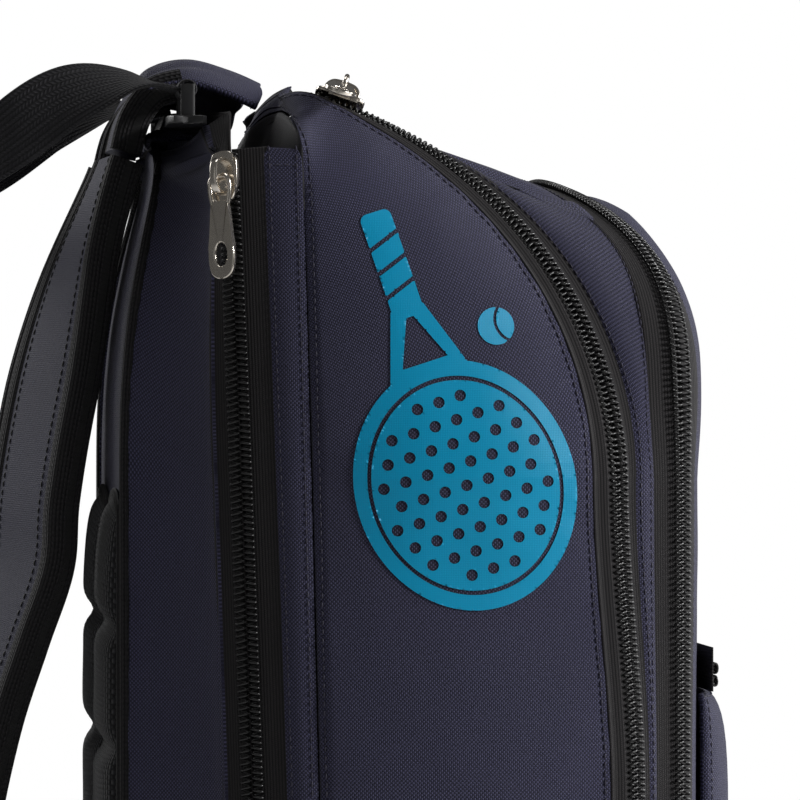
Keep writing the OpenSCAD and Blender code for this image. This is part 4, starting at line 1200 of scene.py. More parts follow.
@dataclass
class FrontZone:
    """Front section and front panel with its pocket."""

    tracks: Tracks
    cloth: Cloth
    pocket_w: float = 92.0
    pocket_low: float = 112.0
    pocket_high: float = 296.0
    pocket_depth: float = 10.0
    fit: float = 0.3

    def ladder(self, a: Array, cols: int, bulge: float, face: float, last: float) -> Tuple[Array, Array]:
        """Grid from a half track to its mirror image, crowned forward.

        Args:
            a: left half of the track.
            cols: columns across.
            bulge: height of the crown.
            face: 1 for a face turned forward, otherwise -1.
            last: row number of the track's end.

        Returns:
            The grid and its normals.
        """
        t = along(a)
        m = unit(np.stack([0 * t[:, 0], t[:, 1], np.maximum(t[:, 2], 0.05)], axis=1))
        n = unit(np.cross(np.array([[1.0, 0.0, 0.0]]), m)) * face
        rows = self.tracks.rows[:len(a)]
        high = bulge * np.clip((last + 0.5 - rows) / 7, 0, 1) ** 0.7
        v = fine_columns(cols)
        g = a[:, None] * (1 - v[None, :, None]) + mirrored(a)[:, None] * v[None, :, None]
        crown = (1 - np.abs(2 * v - 1) ** 3)[None, :, None]
        return g + n[:, None] * high[:, None, None] * crown, np.repeat(n[:, None], cols + 1, axis=1)

    def gusset(self) -> None:
        """Build the gusset between the main and front zips."""
        t = self.tracks
        a = t.beside(t.main_zip, t.front_zip, t.tape_half)
        b = t.beside(t.front_zip, t.main_zip, t.tape_half)
        cols = 14
        v = fine_columns(cols)[None, :, None]
        out = t.outward(a, b)[:, None, :]
        high = np.minimum(2.0, 0.12 * np.linalg.norm(b - a, axis=1))[:, None, None]
        g = a[:, None] * (1 - v) + b[:, None] * v + out * high * 4 * v * (1 - v)
        n = np.repeat(out, cols + 1, axis=1)
        g = self.cloth.folds(g, n, 0.6, 55.0, 71.0, edge=0.2)
        flat = g
        g = self.cloth.rolled(g, n, 0.9)
        obj = sheet_piece("front_gusset_cloth", g, t.sign(t.main_zip, t.front_zip), 3.4)
        place_piece(obj, "navy_oxford", Body.FRONT, ["front_gusset"])
        lines = [self.cloth.edge_line(flat, n, 2.0), self.cloth.edge_line(flat, n, 2.0, far_side=True)]
        threads = stitch_piece("front_gusset_stitches", lines)
        place_piece(threads, "navy_thread", Body.FRONT)

    def panel(self) -> None:
        """Build the crowned front panel and its stitching."""
        t = self.tracks
        stop = int(np.argmin(np.abs(t.rows - (t.n_rows - 1))))
        g, n = self.ladder(t.front_edge[:stop + 1], 44, t.front_bulge, 1.0, t.n_rows - 1)
        inside = (np.abs(g[..., 0]) < self.pocket_w + 4) & (g[..., 2] < self.pocket_high + 22)
        calm = np.where(inside, 0.0, 1.0)[:, :, None]
        g = g + (self.cloth.folds(g, n, 0.8, 70.0, 81.0) - g) * calm
        flat = g
        g = self.cloth.rolled(g, n, 0.9)
        obj = sheet_piece("front_panel_cloth", g, 1.0, 3.4)
        place_piece(obj, "navy_oxford", Body.PANEL, ["front_panel"])
        lines = [self.cloth.edge_line(flat, n, 2.6), self.cloth.edge_line(flat, n, 2.6, far_side=True)]
        threads = stitch_piece("front_panel_stitches", lines)
        place_piece(threads, "navy_thread", Body.PANEL)

    def divider(self) -> None:
        """Build the thin wall behind the front compartment."""
        t = self.tracks
        a = t.beside(t.main_zip, t.front_zip, 6.0)
        stop = int(np.argmin(np.abs(t.rows - (t.n_rows - 2))))
        line = a[:stop + 1].copy()
        line[:, 0] += 5.2
        line[:, 2] -= 4.5 * np.array([smooth((r - t.n_side) / 8) for r in t.rows[:stop + 1]])
        g, n = self.ladder(line, 24, 4.0, 1.0, t.n_rows - 2)
        g = self.cloth.folds(g, n, 0.7, 80.0, 91.0)
        obj = sheet_piece("front_divider_cloth", g, 1.0, 2.8)
        place_piece(obj, "black_lining", Body.FRONT, ["front_divider"])

    def pocket(self) -> None:
        """Build the bellows pocket and its zip."""
        t = self.tracks
        n_rows, n_cols = 26, 44
        u = fine_columns(n_rows, 0.8) * 2 - 1
        v = fine_columns(n_cols, 0.8) * 2 - 1
        g = np.zeros((n_rows + 1, n_cols + 1, 3))
        for i, a in enumerate(u):
            for j, b in enumerate(v):
                x = b * self.pocket_w
                deep = self.pocket_depth * math.sqrt(max((1 - abs(a) ** 8) * (1 - abs(b) ** 6), 0))
                z = self.pocket_low + (self.pocket_high - self.pocket_low) * (a + 1) / 2
                g[i, j] = (x, t.face_y(x) - self.fit - 2.3 - deep, z)
        calm = ((1 - u ** 4)[:, None] * (1 - v ** 4)[None, :])
        g[..., 1] -= (wave(g, 42.0, 101.0) * 0.9 + wave(g, 15.0, 103.0) * 0.2) * calm
        obj = sheet_piece("front_pocket_cloth", g, 1.0, 2.2)
        place_piece(obj, "navy_oxford", Body.PANEL, ["pocket_shell"])
        forward = np.array([0.0, -1.0, 0.0])
        rim = []
        for a in (-0.985, 0.985):
            i = int(np.argmin(np.abs(u - a)))
            rim.append((g[i], np.tile(forward, (n_cols + 1, 1))))
        for b in (-0.985, 0.985):
            j = int(np.argmin(np.abs(v - b)))
            rim.append((g[:, j], np.tile(forward, (n_rows + 1, 1))))
        place_piece(stitch_piece("front_pocket_stitches", rim), "navy_thread", Body.PANEL)
        z0, z1 = self.pocket_high + 0.3, self.pocket_high + 16
        x = np.linspace(-self.pocket_w, self.pocket_w, 61)
        y = np.full_like(x, t.face_y(0) - self.fit - 0.8)
        tape = np.stack([np.stack([x, y, np.full_like(x, z)], axis=1)
                         for z in np.linspace(z1, z0, 5)], axis=1)
        strip = sheet_piece("front_pocket_tape", tape, 1.0, 0.7)
        place_piece(strip, "zip_tape_cloth", Body.PANEL, ["pocket_zip_tape"])
        mid = np.stack([x[2:-2], y[2:-2], np.full_like(x[2:-2], self.pocket_high + 6)], axis=1)
        frames = CoilFrames(mid, np.tile([0.0, 0.0, 1.0], (len(mid), 1)), np.tile(forward, (len(mid), 1)))
        place_piece(coil_piece("front_pocket_coil", frames, (1.0, -1.0)), "nylon_coil", Body.PANEL,
                    ["pocket_zip_coil"])

    def build(self) -> None:
        """Build every piece of the front."""
        self.gusset()
        self.panel()
        self.divider()
        self.pocket()


# ---------------------------------------------------------------- zips
@dataclass
class CoilFrames:
    """Line of a zip with the direction across it and the way out of it."""

    line: Array
    across: Array
    out: Array


def coil_piece(name: str, frames: CoilFrames, halves: Sequence[float], lift: float = 0.0,
               pitch: float = 2.1) -> bpy.types.Object:
    """Nylon coil of a closed zip.

    Args:
        name: piece name.
        frames: the zip's line.
        halves: 1 for the half on the across side, -1 for the other.
        lift: height over the line.
        pitch: distance between loops.

    Returns:
        One object with the asked halves.
    """
    per_turn, sides, wire = 12, 6, 0.46
    at = arc_length(frames.line)
    turns = int(at[-1] / pitch)
    s = np.linspace(0, turns * pitch, turns * per_turn + 1)
    o = resample(frames.line, at, s)
    x = unit(resample(frames.across, at, s))
    z = unit(resample(frames.out, at, s))
    t = along(o)
    points, faces = [], []
    for half in halves:
        a = s / pitch * 2 * math.pi + (0.0 if half > 0 else math.pi)
        flat_x = np.sign(np.cos(a)) * np.abs(np.cos(a)) ** 0.75
        flat_z = np.sign(np.sin(a)) * np.abs(np.sin(a)) ** 0.85
        path = (o + x * (half * (2.25 + 1.75 * flat_x))[:, None] + z * (lift + 1.5 + 0.95 * flat_z)[:, None])
        k = np.arange(sides) * 2 * math.pi / sides
        ring = np.stack([np.cos(k) * wire, np.sin(k) * wire], axis=1)
        rings = sweep_points(path, t, ring)
        start = sum(len(p) for p in points)
        points.append(rings.reshape(-1, 3))
        faces += grid_faces(rings.shape[0], sides, wrap=True, turn=True, start=start)
    return mesh_piece(name, np.concatenate(points), faces)


@dataclass
class Zips:
    """Tapes and coils of the four long zips."""

    tracks: Tracks
    tape_lap: float = 1.6
    gap: float = 0.5
    ridge_half: float = 4.2

    def tape(self, name: str, near: Array, far: Array, sign: float, body: Body, node: str,
             ridge: Optional[Array] = None) -> None:
        """Build one tape half between two tracks, raised along `ridge` to carry a lifted coil."""
        v = np.linspace(0, 1, (6 if ridge is None else 14) + 1)[None, :, None]
        g = near[:, None] * (1 - v) + far[:, None] * v
        if ridge is not None:
            share = np.clip((self.ridge_half + 4.5 - np.linalg.norm(g - near[:, None], axis=2)) / 4.5, 0, 1)
            g = g + ridge[:, None] * (share ** 2 * (3 - 2 * share))[:, :, None]
        obj = sheet_piece(name, g, sign, 0.7)
        place_piece(obj, "zip_tape_cloth", body, [node])

    def frames(self, track: Array, own: Array, other: Array, g: float) -> CoilFrames:
        """Middle frame of a zip between its two tapes."""
        x = unit(own - other)
        z = unit(np.cross(x, along(track))) * g
        return CoilFrames(track, x, z)

    def main(self) -> None:
        """Build the zip round the main compartment."""
        t = self.tracks
        own = t.across(t.main_zip, t.front_zip)
        lift = t.valley_lift
        far = t.tape_half + self.tape_lap
        frames = self.frames(t.main_zip, own, t.wall_dir(), 1.0)
        ridge = frames.out * (lift - 0.4)
        self.tape("main_zip_tape_body", t.beside(t.main_zip, t.seam, self.gap, t.wall_tilt),
                  t.beside(t.main_zip, t.seam, t.tape_half, t.wall_tilt), t.sign(t.main_zip, t.seam),
                  Body.BAG, "main_zip_body_tape", ridge)
        self.tape("main_zip_tape_front", t.beside(t.main_zip, t.front_zip, self.gap),
                  t.beside(t.main_zip, t.front_zip, far), t.sign(t.main_zip, t.front_zip),
                  Body.FRONT, "main_zip_front_tape", ridge)
        place_piece(coil_piece("main_zip_coil_front", frames, (1.0,), lift), "nylon_coil", Body.FRONT,
                    ["main_zip_front_coil"])
        place_piece(coil_piece("main_zip_coil_body", frames, (-1.0,), lift), "nylon_coil", Body.BAG,
                    ["main_zip_body_coil"])

    def front(self) -> None:
        """Build the zip round the front panel."""
        t = self.tracks
        own = t.rim_dir()
        other = t.across(t.front_zip, t.main_zip)
        self.tape("front_zip_tape_panel", t.rim(self.gap), t.rim(t.tape_half + self.tape_lap), 1.0,
                  Body.PANEL, "front_zip_panel_tape")
        self.tape("front_zip_tape_gusset", t.beside(t.front_zip, t.main_zip, self.gap),
                  t.beside(t.front_zip, t.main_zip, t.tape_half + self.tape_lap),
                  t.sign(t.front_zip, t.main_zip), Body.FRONT, "front_zip_gusset_tape")
        frames = self.frames(t.front_zip, own, other, 1.0)
        place_piece(coil_piece("front_zip_coil_panel", frames, (1.0,), -0.3), "nylon_coil", Body.PANEL,
                    ["front_zip_panel_coil"])
        place_piece(coil_piece("front_zip_coil_gusset", frames, (-1.0,), -0.3), "nylon_coil", Body.FRONT,
                    ["front_zip_gusset_coil"])

    def sides(self) -> None:
        """Build both side zips and the back part's tape over the top."""
        t = self.tracks
        stop = t.i_top + 1
        near = t.beside(t.side_zip, t.seam, self.gap)[:stop]
        far = t.beside(t.side_zip, t.seam, t.tape_half + self.tape_lap)[:stop]
        self.tape("side_zip_tape_back", t.beside(t.back_front, t.back_edge, self.gap),
                  t.beside(t.back_front, t.back_edge, t.tape_half + self.tape_lap),
                  t.sign(t.back_front, t.back_edge), Body.BACK, "side_zip_back_tapes")
        own = t.across(t.side_zip, t.back_edge)
        other = t.across(t.side_zip, t.seam)
        frames = self.frames(t.side_zip, own, other, -1.0)
        for side in Side:
            sign = t.sign(t.side_zip, t.seam) * side.value
            self.tape(f"side_zip_tape_body_{side.word}", sided(near, side), sided(far, side), sign,
                      Body.BAG, "side_zip_body_tapes")
            mine = CoilFrames(sided(frames.line[:stop], side), sided(frames.across[:stop], side),
                              sided(frames.out[:stop], side))
            place_piece(coil_piece(f"side_zip_coil_back_{side.word}", mine, (1.0,)), "nylon_coil",
                        Body.BACK, ["side_zip_back_coils"])
            place_piece(coil_piece(f"side_zip_coil_body_{side.word}", mine, (-1.0,)), "nylon_coil",
                        Body.BAG, ["side_zip_body_coils"])

    def build(self) -> None:
        """Build every long zip."""
        self.main()
        self.front()
        self.sides()


# ---------------------------------------------------------------- hardware
@dataclass
class Frame:
    """Place of a slider: origin, own side, direction along the zip, outward."""

    origin: Array
    x: Array
    y: Array
    z: Array

    def matrix(self) -> Matrix:
        """Matrix from the frame's own millimetres to metres."""
        rows = [[self.x[k], self.y[k], self.z[k], self.origin[k]] for k in range(3)]
        m = Matrix([*rows, [0, 0, 0, 1]])
        return Matrix.Scale(MM, 4) @ m

    def mirrored(self) -> "Frame":
        """The same frame on the other side of the bag, kept right-handed."""
        return Frame(mirrored(self.origin), -mirrored(self.x), mirrored(self.y), mirrored(self.z))


def slider_frame(o: Array, t: Array, own: Array, other: Array, g: float, lift: float = 0.0) -> Frame:
    """Frame of a slider at o on a zip running along t."""
    x = unit(own - other)
    z = unit(np.cross(x, t)) * g
    return Frame(o + z * lift, x, np.cross(z, x), z)


@dataclass
class Block:
    """Small moulded or cast shapes gathered into one mesh."""

    bm: bmesh.types.BMesh = field(default_factory=bmesh.new)

    def prism(self, outline: Array, z0: float, z1: float, bevel: float) -> None:
        """Add an upright prism with rounded edges."""
        low = [self.bm.verts.new((p[0], p[1], z0)) for p in outline]
        high = [self.bm.verts.new((p[0], p[1], z1)) for p in outline]
        n = len(outline)
        made = [self.bm.faces.new(low[::-1]), self.bm.faces.new(high)]
        made += [self.bm.faces.new((low[i], low[(i + 1) % n], high[(i + 1) % n], high[i])) for i in range(n)]
        edges = list({e for f in made[:2] for e in f.edges})
        bmesh.ops.bevel(self.bm, geom=edges, offset=bevel, segments=3, profile=0.6, affect="EDGES")

    def tube(self, path: Array, sides: Array, section: Array) -> None:
        """Add a bar along a path."""
        rings = sweep_points(path, sides, section)
        verts = [[self.bm.verts.new(p) for p in ring] for ring in rings]
        m = len(section)
        for i in range(len(rings) - 1):
            for j in range(m):
                k = (j + 1) % m
                self.bm.faces.new((verts[i][j], verts[i + 1][j], verts[i + 1][k], verts[i][k]))
        self.bm.faces.new(verts[0])
        self.bm.faces.new(verts[-1][::-1])

    def ring_plate(self, outer: Array, inner: Array, thick: float, bevel: float) -> None:
        """Add a plate with a hole; both loops have the same number of points."""
        n = len(outer)
        loops = []
        for z in (-thick / 2, thick / 2):
            loops.append([self.bm.verts.new((p[0], p[1], z)) for p in outer])
            loops.append([self.bm.verts.new((p[0], p[1], z)) for p in inner])
        ol, il, oh, ih = loops
        for i in range(n):
            k = (i + 1) % n
            self.bm.faces.new((oh[i], oh[k], ih[k], ih[i]))
            self.bm.faces.new((ol[k], ol[i], il[i], il[k]))
            self.bm.faces.new((ol[i], ol[k], oh[k], oh[i]))
            self.bm.faces.new((il[k], il[i], ih[i], ih[k]))
        rims = [self.bm.edges.get((loop[i], loop[(i + 1) % n])) for loop in loops for i in range(n)]
        bmesh.ops.bevel(self.bm, geom=[e for e in rims if e], offset=bevel, segments=3, profile=0.6,
                        affect="EDGES")

    def piece(self, name: str, matrix: Matrix) -> bpy.types.Object:
        """Finish the mesh under a matrix."""
        bmesh.ops.transform(self.bm, matrix=matrix, verts=self.bm.verts)
        bmesh.ops.recalc_face_normals(self.bm, faces=self.bm.faces)
        mesh = bpy.data.meshes.new(name)
        self.bm.to_mesh(mesh)
        self.bm.free()
        mesh.polygons.foreach_set("use_smooth", [True] * len(mesh.polygons))
        mesh.set_sharp_from_angle(angle=math.radians(38))
        obj = bpy.data.objects.new(name, mesh)
        bpy.context.scene.collection.objects.link(obj)
        return obj


def rounded(points: Sequence[Tuple[float, float]], steps: int = 4) -> Array:
    """Closed smooth outline through points."""
    p = [(x, y, 0.0) for x, y in points]
    n = len(p)
    path = catmull([p[-1], *p, p[0], p[1]], steps)
    return path[steps:steps + n * steps, :2]


@dataclass
class Hardware:
    """Sliders and pullers in polished metal."""

    tracks: Tracks
    plate_z: float = 3.7
    plate_t: float = 1.6
    length: float = 17.0
    wire: float = 0.9
    puller_l: float = 36.0
    puller_t: float = 1.8
    tab_drop: float = 24.0

    def slider(self, name: str, frame: Frame, body: str, slot_node: str) -> None:
        """Build a slider: crowned plate, side flange and arched bridge."""
        b = Block()
        h = self.length / 2
        b.prism(rounded([(-3.4, -h), (3.4, -h), (4.9, -h * 0.55), (5.25, 0), (5.0, h * 0.6), (3.2, h),
                         (-3.2, h), (-5.0, h * 0.6), (-5.25, 0), (-4.9, -h * 0.55)]),
                self.plate_z, self.plate_z + self.plate_t, 0.55)
        for sx in (-1, 1):
            b.prism(rounded([(sx * 5.05 - 0.5, -5.6), (sx * 5.05 + 0.62, -5.4), (sx * 5.05 + 0.62, 3.0),
                             (sx * 5.05 - 0.5, 3.2)], 3), 2.9 if sx < 0 else 1.4, self.plate_z + 0.8, 0.3)
        top = self.plate_z + self.plate_t
        half = [(5.9, -0.5), (5.7, 2.2), (4.2, 4.2), (1.5, 4.8)]
        arch = catmull([[0, -y, top + z] for y, z in half] + [[0, y, top + z] for y, z in half[::-1]], 5)
        b.tube(arch, np.tile([1.0, 0, 0], (len(arch), 1)), oval(2.9, 1.5, 16, 0.6))
        obj = b.piece(name, frame.matrix())
        place_piece(obj, "nickel", body, [slot_node])

    def tab(self, b: Block, start: float) -> None:
        """Add the tapered puller tab with its oval hole."""
        end = self.puller_l
        hole = np.array([0.0, end - 8.5])
        outline = rounded([(-3.3, start), (0, start - 0.15), (3.3, start), (3.7, start + 2), (4.6, end - 16),
                           (5.5, end - 8), (4.6, end - 2.6), (2.4, end - 0.4), (0, end),
                           (-2.4, end - 0.4), (-4.6, end - 2.6), (-5.5, end - 8), (-4.6, end - 16),
                           (-3.7, start + 2)], 5)
        d = outline - hole
        a = np.arctan2(d[:, 1] / 4.2, d[:, 0] / 2.6)
        inner = hole + np.stack([2.6 * np.cos(a), 4.2 * np.sin(a)], axis=1)
        b.ring_plate(outline, inner, self.puller_t, 0.5)

    def fork(self, name: str, frame: Frame, flip: bool, body: str, node: str) -> None:
        """Build a puller that is hooked through the bridge by a wire fork."""
        b = Block()
        path = catmull([[-3.2, 10, 0], [-4.0, 6, 0], [-3.9, 2.0, 0], [-2.6, 0.2, 0], [0, -0.1, 0],
                        [2.6, 0.2, 0], [3.9, 2.0, 0], [4.0, 6, 0], [3.2, 10, 0]], 6)
        b.tube(path, np.tile([0, 0, 1.0], (len(path), 1)), oval(1.8, 1.8, 12, 1.0))
        self.tab(b, 9.0)
        local = Matrix.Translation((0, 0, self.plate_z + self.plate_t + 1.7))
        if flip:
            local = local @ Matrix.Rotation(math.pi, 4, "Z")
        obj = b.piece(name, frame.matrix() @ local)
        place_piece(obj, "nickel", body, [node])

    def ring(self, name: str, frame: Frame, body: str, node: str) -> None:
        """Build a puller that hangs from a ring."""
        b = Block()
        turns = np.linspace(0, 2 * math.pi, 49)
        path = np.stack([0 * turns, 3.2 * np.cos(turns), 3.2 * np.sin(turns)], axis=1)
        path[-1] = path[0]
        b.tube(path, np.tile([1.0, 0, 0], (len(path), 1)), oval(1.8, 1.8, 12, 1.0))
        self.tab(b, 3.6)
        local = (Matrix.Translation((0, 0, self.plate_z + self.plate_t + 4.4))
                 @ Matrix.Rotation(math.radians(-self.tab_drop), 4, "Y")
                 @ Matrix.Rotation(math.pi / 2, 4, "Z"))
        obj = b.piece(name, frame.matrix() @ local)
        place_piece(obj, "nickel", body, [node])

    def point_at(self, track: Array, z: float) -> Tuple[Array, int]:
        """Point of a track's left side at height z, with its row."""
        half = track[:self.tracks.i_top + 1]
        i = int(np.argmax(half[:, 2] > z))
        k = (z - half[i - 1, 2]) / (half[i, 2] - half[i - 1, 2])
        return half[i - 1] * (1 - k) + half[i] * k, i

    def build(self) -> None:
        """Build every slider and puller."""
        t = self.tracks
        lift = t.valley_lift
        wall = t.wall_dir()
        front = t.across(t.main_zip, t.front_zip)
        o, i = self.point_at(t.side_zip, t.side_top_z - 10)
        side = slider_frame(o, along(t.side_zip)[i], t.across(t.side_zip, t.back_edge)[i],
                            t.across(t.side_zip, t.seam)[i], -1.0)
        self.slider("side_slider_left_metal", side, "side_slider_left", "side_slider_left")
        self.slider("side_slider_right_metal", side.mirrored(), "side_slider_right", "side_slider_right")
        self.fork("side_puller_left_metal", side, False, "side_puller_left", "side_puller_left")
        self.fork("side_puller_right_metal", side.mirrored(), False, "side_puller_right", "side_puller_right")
        a = t.arc_end - 1.8
        o = t.main_arc(a)
        i = t.i_top - int(round(1.8 / t.arc_end * t.n_arc / 0.34))
        top = slider_frame(o, unit(t.main_arc(a + 1) - t.main_arc(a - 1)), front[i], wall[i], 1.0, lift)
        self.slider("main_slider_top_metal", top, "main_slider_top", "main_slider_top")
        self.ring("main_puller_top_metal", top, "main_puller_top", "main_puller_top")
        o, i = self.point_at(t.main_zip, 250)
        low = slider_frame(o, along(t.main_zip)[i], front[i], wall[i], 1.0, lift).mirrored()
        self.slider("main_slider_low_metal", low, "main_slider_low", "main_slider_low")
        self.fork("main_puller_low_metal", low, True, "main_puller_low", "main_puller_low")
        o, i = self.point_at(t.front_zip, t.row_z(7))
        lid = slider_frame(o, along(t.front_zip)[i], t.rim_dir()[i],
                           t.across(t.front_zip, t.main_zip)[i], 1.0).mirrored()
        self.slider("front_slider_metal", lid, "front_slider", "front_slider")
        self.fork("front_puller_metal", lid, True, "front_puller", "front_puller")
        pocket = Frame(np.array([92 * 0.45, t.face_y(0) - 1.1, 302.0]), np.array([0, 0, 1.0]),
                       np.array([1.0, 0, 0]), np.array([0, -1.0, 0]))
        self.slider("pocket_slider_metal", pocket, "pocket_slider", "pocket_slider")
        self.fork("pocket_puller_metal", pocket, True, "pocket_puller", "pocket_puller")


# ---------------------------------------------------------------- back, straps, handle
@dataclass
class BackZone:
    """Back part: bands, face, pads, hood and strap stubs."""

    tracks: Tracks
    cloth: Cloth
    front: FrontZone
    hood_half_w: float = 83.5
    stub_w: float = 54.0
    strap_top_x: float = 57.0
    rise_foot: float = 118.0

    def side_band(self) -> None:
        """Build the band between the side zips and the back face."""
        t = self.tracks
        a, b = t.beside(t.back_front, t.back_edge, t.tape_half), t.back_edge
        cols = 14
        v = fine_columns(cols)[None, :, None]
        out = t.outward(a, b)[:, None, :]
        high = np.minimum(3.0, 0.12 * np.linalg.norm(b - a, axis=1))[:, None, None]
        g = a[:, None] * (1 - v) + b[:, None] * v + out * high * 4 * v * (1 - v)
        n = np.repeat(out, cols + 1, axis=1)
        g = self.cloth.folds(g, n, 1.5, 60.0, 111.0, edge=0.2)
        g = self.cloth.puckers(g, n, 0.5, 10.0, 7.0, 112.0, far_side=True)
        flat = g
        g = self.cloth.rolled(g, n, 0.8)
        obj = sheet_piece("back_side_band_cloth", g, t.sign(t.back_front, t.back_edge), 3.4)
        place_piece(obj, "navy_oxford", Body.BACK, ["back_side_band"])
        lines = [self.cloth.edge_line(flat, n, 2.2), self.cloth.edge_line(flat, n, 2.4, far_side=True)]
        place_piece(stitch_piece("back_side_band_stitches", lines), "navy_thread", Body.BACK)
        rim = t.back_edge.copy()
        piping = sweep_piece("back_edge_piping", rim, out[:, 0], oval(3.6, 3.6, 12, 1.0))
        place_piece(piping, "edge_binding", Body.BACK)

    def face(self) -> None:
        """Build the back face."""
        t = self.tracks
        stop = int(np.argmin(np.abs(t.rows - (t.n_rows - 1))))
        line = t.back_edge[:stop + 1] + np.array([1.6, -0.2, 0])
        g, n = self.front.ladder(line, 34, 0.0, -1.0, t.n_rows - 1)
        g = self.cloth.folds(g, n, 0.5, 60.0, 121.0)
        obj = sheet_piece("back_face_cloth", g, -1.0, 3.6)
        place_piece(obj, "navy_oxford", Body.BACK, ["back_face"])

    def cushion(self, name: str, x0: float, x1: float, z0: float, z1: float, thick: float,
                channels: Sequence[float], node: str, seed: float) -> None:
        """Build a quilted pad on the back face.

        Args:
            name: piece name.
            x0, x1, z0, z1: edges of the pad.
            thick: greatest thickness.
            channels: heights of its sewn channels, from -1 to 1.
            node: CAD node that it stands for.
            seed: start of the noise.
        """
        n = 44
        y0 = self.tracks.back_y + 0.3
        u = np.linspace(-1, 1, n + 1)
        g = np.zeros((n + 1, n + 1, 3))
        for i, a in enumerate(u):
            for j, b in enumerate(u):
                x = (x0 + x1) / 2 + b * math.sqrt(1 - a * a * 0.12) * (x1 - x0) / 2
                z = (z0 + z1) / 2 + a * math.sqrt(1 - b * b * 0.12) * (z1 - z0) / 2
                h = max((1 - abs(a) ** 6) * (1 - abs(b) ** 4), 0) ** 0.5
                sewn = sum(math.exp(-((a - c) * (z1 - z0) / 2 / 3.2) ** 2) for c in channels)
                g[i, j] = (x, y0 + 0.6 + (thick - 0.6) * h * (1 - 0.75 * min(sewn, 1)), z)
        calm = (1 - u ** 4)[:, None] * (1 - u ** 4)[None, :]
        g[..., 1] += wave(g, 24.0, seed) * 0.5 * calm
        obj = sheet_piece(name, g, -1.0, 0.8)
        obj.modifiers["thickness"].offset = -1.0
        sub = obj.modifiers.new("soften", "SUBSURF")
        sub.levels = sub.render_levels = 1
        place_piece(obj, "spacer_mesh", Body.BACK, [node])
        rim = np.concatenate([g[0], g[1:, -1], g[-1, -2::-1], g[-2:0:-1, 0], g[0, :2]])
        rim[:, 1] = y0 + 0.9
        out = np.tile([0.0, 1.0, 0.0], (len(rim), 1))
        place_piece(sweep_piece(name + "_binding", rim, out, oval(2.4, 5.0, 12, 0.8)), "edge_binding",
                    Body.BACK)

    def hood(self) -> None:
        """Build the gathered hood over the racket opening."""
        back, top = self.tracks.back_y, self.tracks.body_h - 1
        line = catmull([[0, back - 51, 9], [0, back - 40, 14], [0, back - 26, 17.5],
                        [0, back - 13, 14], [0, back - 7, 4]], 9)
        cols = 90
        rows = []
        for p in line:
            v = np.linspace(-1, 1, cols + 1)
            gather = math.exp(-((p[1] - (back - 7)) / 22.0) ** 2)
            ruffle = np.sin(v * 31 + 1.3 * np.sin(v * 9)) * 1.5 * gather
            z = top + p[2] - 9 * np.abs(v) ** 5 + ruffle
            y = p[1] + 3 * v ** 4 + np.sin(v * 17) * 0.5
            rows.append(np.stack([v * self.hood_half_w, y, z], axis=1))
        g = np.stack(rows, axis=0)
        g[..., 2] += wave(g, 30.0, 131.0) * 1.3
        obj = sheet_piece("hood_cloth", g, -1.0, 3.0)
        obj.modifiers["thickness"].offset = -1.0
        sub = obj.modifiers.new("soften", "SUBSURF")
        sub.levels = sub.render_levels = 1
        place_piece(obj, "navy_oxford", Body.BACK, ["strap_yoke"])
        ends = []
        for row in (2, len(g) - 4):
            ends.append((g[row] + np.array([0, 0, 0.2]), np.tile([0.0, -0.3, 1.0], (cols + 1, 1))))
        place_piece(stitch_piece("hood_stitches", ends), "navy_thread", Body.BACK)

    def stubs(self) -> None:
        """Build the strap stubs and the lower tabs."""
        t = self.tracks
        path = catmull([[-self.strap_top_x, t.back_y - 22, t.body_h + 9],
                        [-self.strap_top_x, t.back_y - 12, t.body_h + 6],
                        [-self.strap_top_x, t.back_y - 5, t.body_h - 3],
                        [-self.strap_top_x, t.back_y - 1.6, 488.0]], 10)
        for side in Side:
            sides = np.tile(sided(np.array([-1.0, -0.05, 0]), side), (len(path), 1))
            section = oval(self.stub_w, 10.0, 40, 0.5)
            stub = sweep_piece(f"strap_stub_{side.word}", sided(path, side), sides,
                               section if side is Side.LEFT else section[::-1])
            place_piece(stub, "navy_oxford_strap", Body.BACK, ["strap_stubs"])
            trim = oval(7.4, 11.4, 24, 0.5)[::1 if side is Side.LEFT else -1]
            for word, x in (("inner", 23.8), ("outer", -23.8)):
                edge = sweep_piece(f"strap_stub_binding_{side.word}_{word}",
                                   sided(path + np.array([x, 0, 0]), side), sides, trim)
                place_piece(edge, "edge_binding", Body.BACK)
            anchor = sided(np.array([-100.0, t.back_y + 2.2, self.rise_foot - 8]), side)
            b = Block()
            b.prism(rounded([(-15.5, -7.8), (15.5, -7.8), (16.4, 0), (15.5, 7.8), (-15.5, 7.8),
                             (-16.4, 0)], 4), -1.8, 1.8, 0.7)
            turn = (Matrix.Rotation(math.radians(12) * side.value, 4, "Y")
                    @ Matrix.Rotation(math.pi / 2, 4, "X"))
            tab = b.piece(f"lower_tab_{side.word}", Matrix.Scale(MM, 4) @ Matrix.Translation(anchor) @ turn)
            tab.data.uv_layers.new(name="fabric")
            place_piece(tab, "edge_binding", Body.BACK, ["lower_tabs"])

    def build(self) -> None:
        """Build every piece of the back."""
        self.side_band()
        self.face()
        channels = (-0.5, 0.0, 0.5)
        self.cushion("back_pad_left_foam", -97, -14, 188, 366, 8.0, channels, "back_pad_left", 141.0)
        self.cushion("back_pad_right_foam", 14, 97, 188, 366, 8.0, channels, "back_pad_right", 142.0)
        self.cushion("lumbar_foam", -84, 84, 124, 176, 7.0, (0.0,), "lumbar_pad", 143.0)
        self.hood()
        self.stubs()


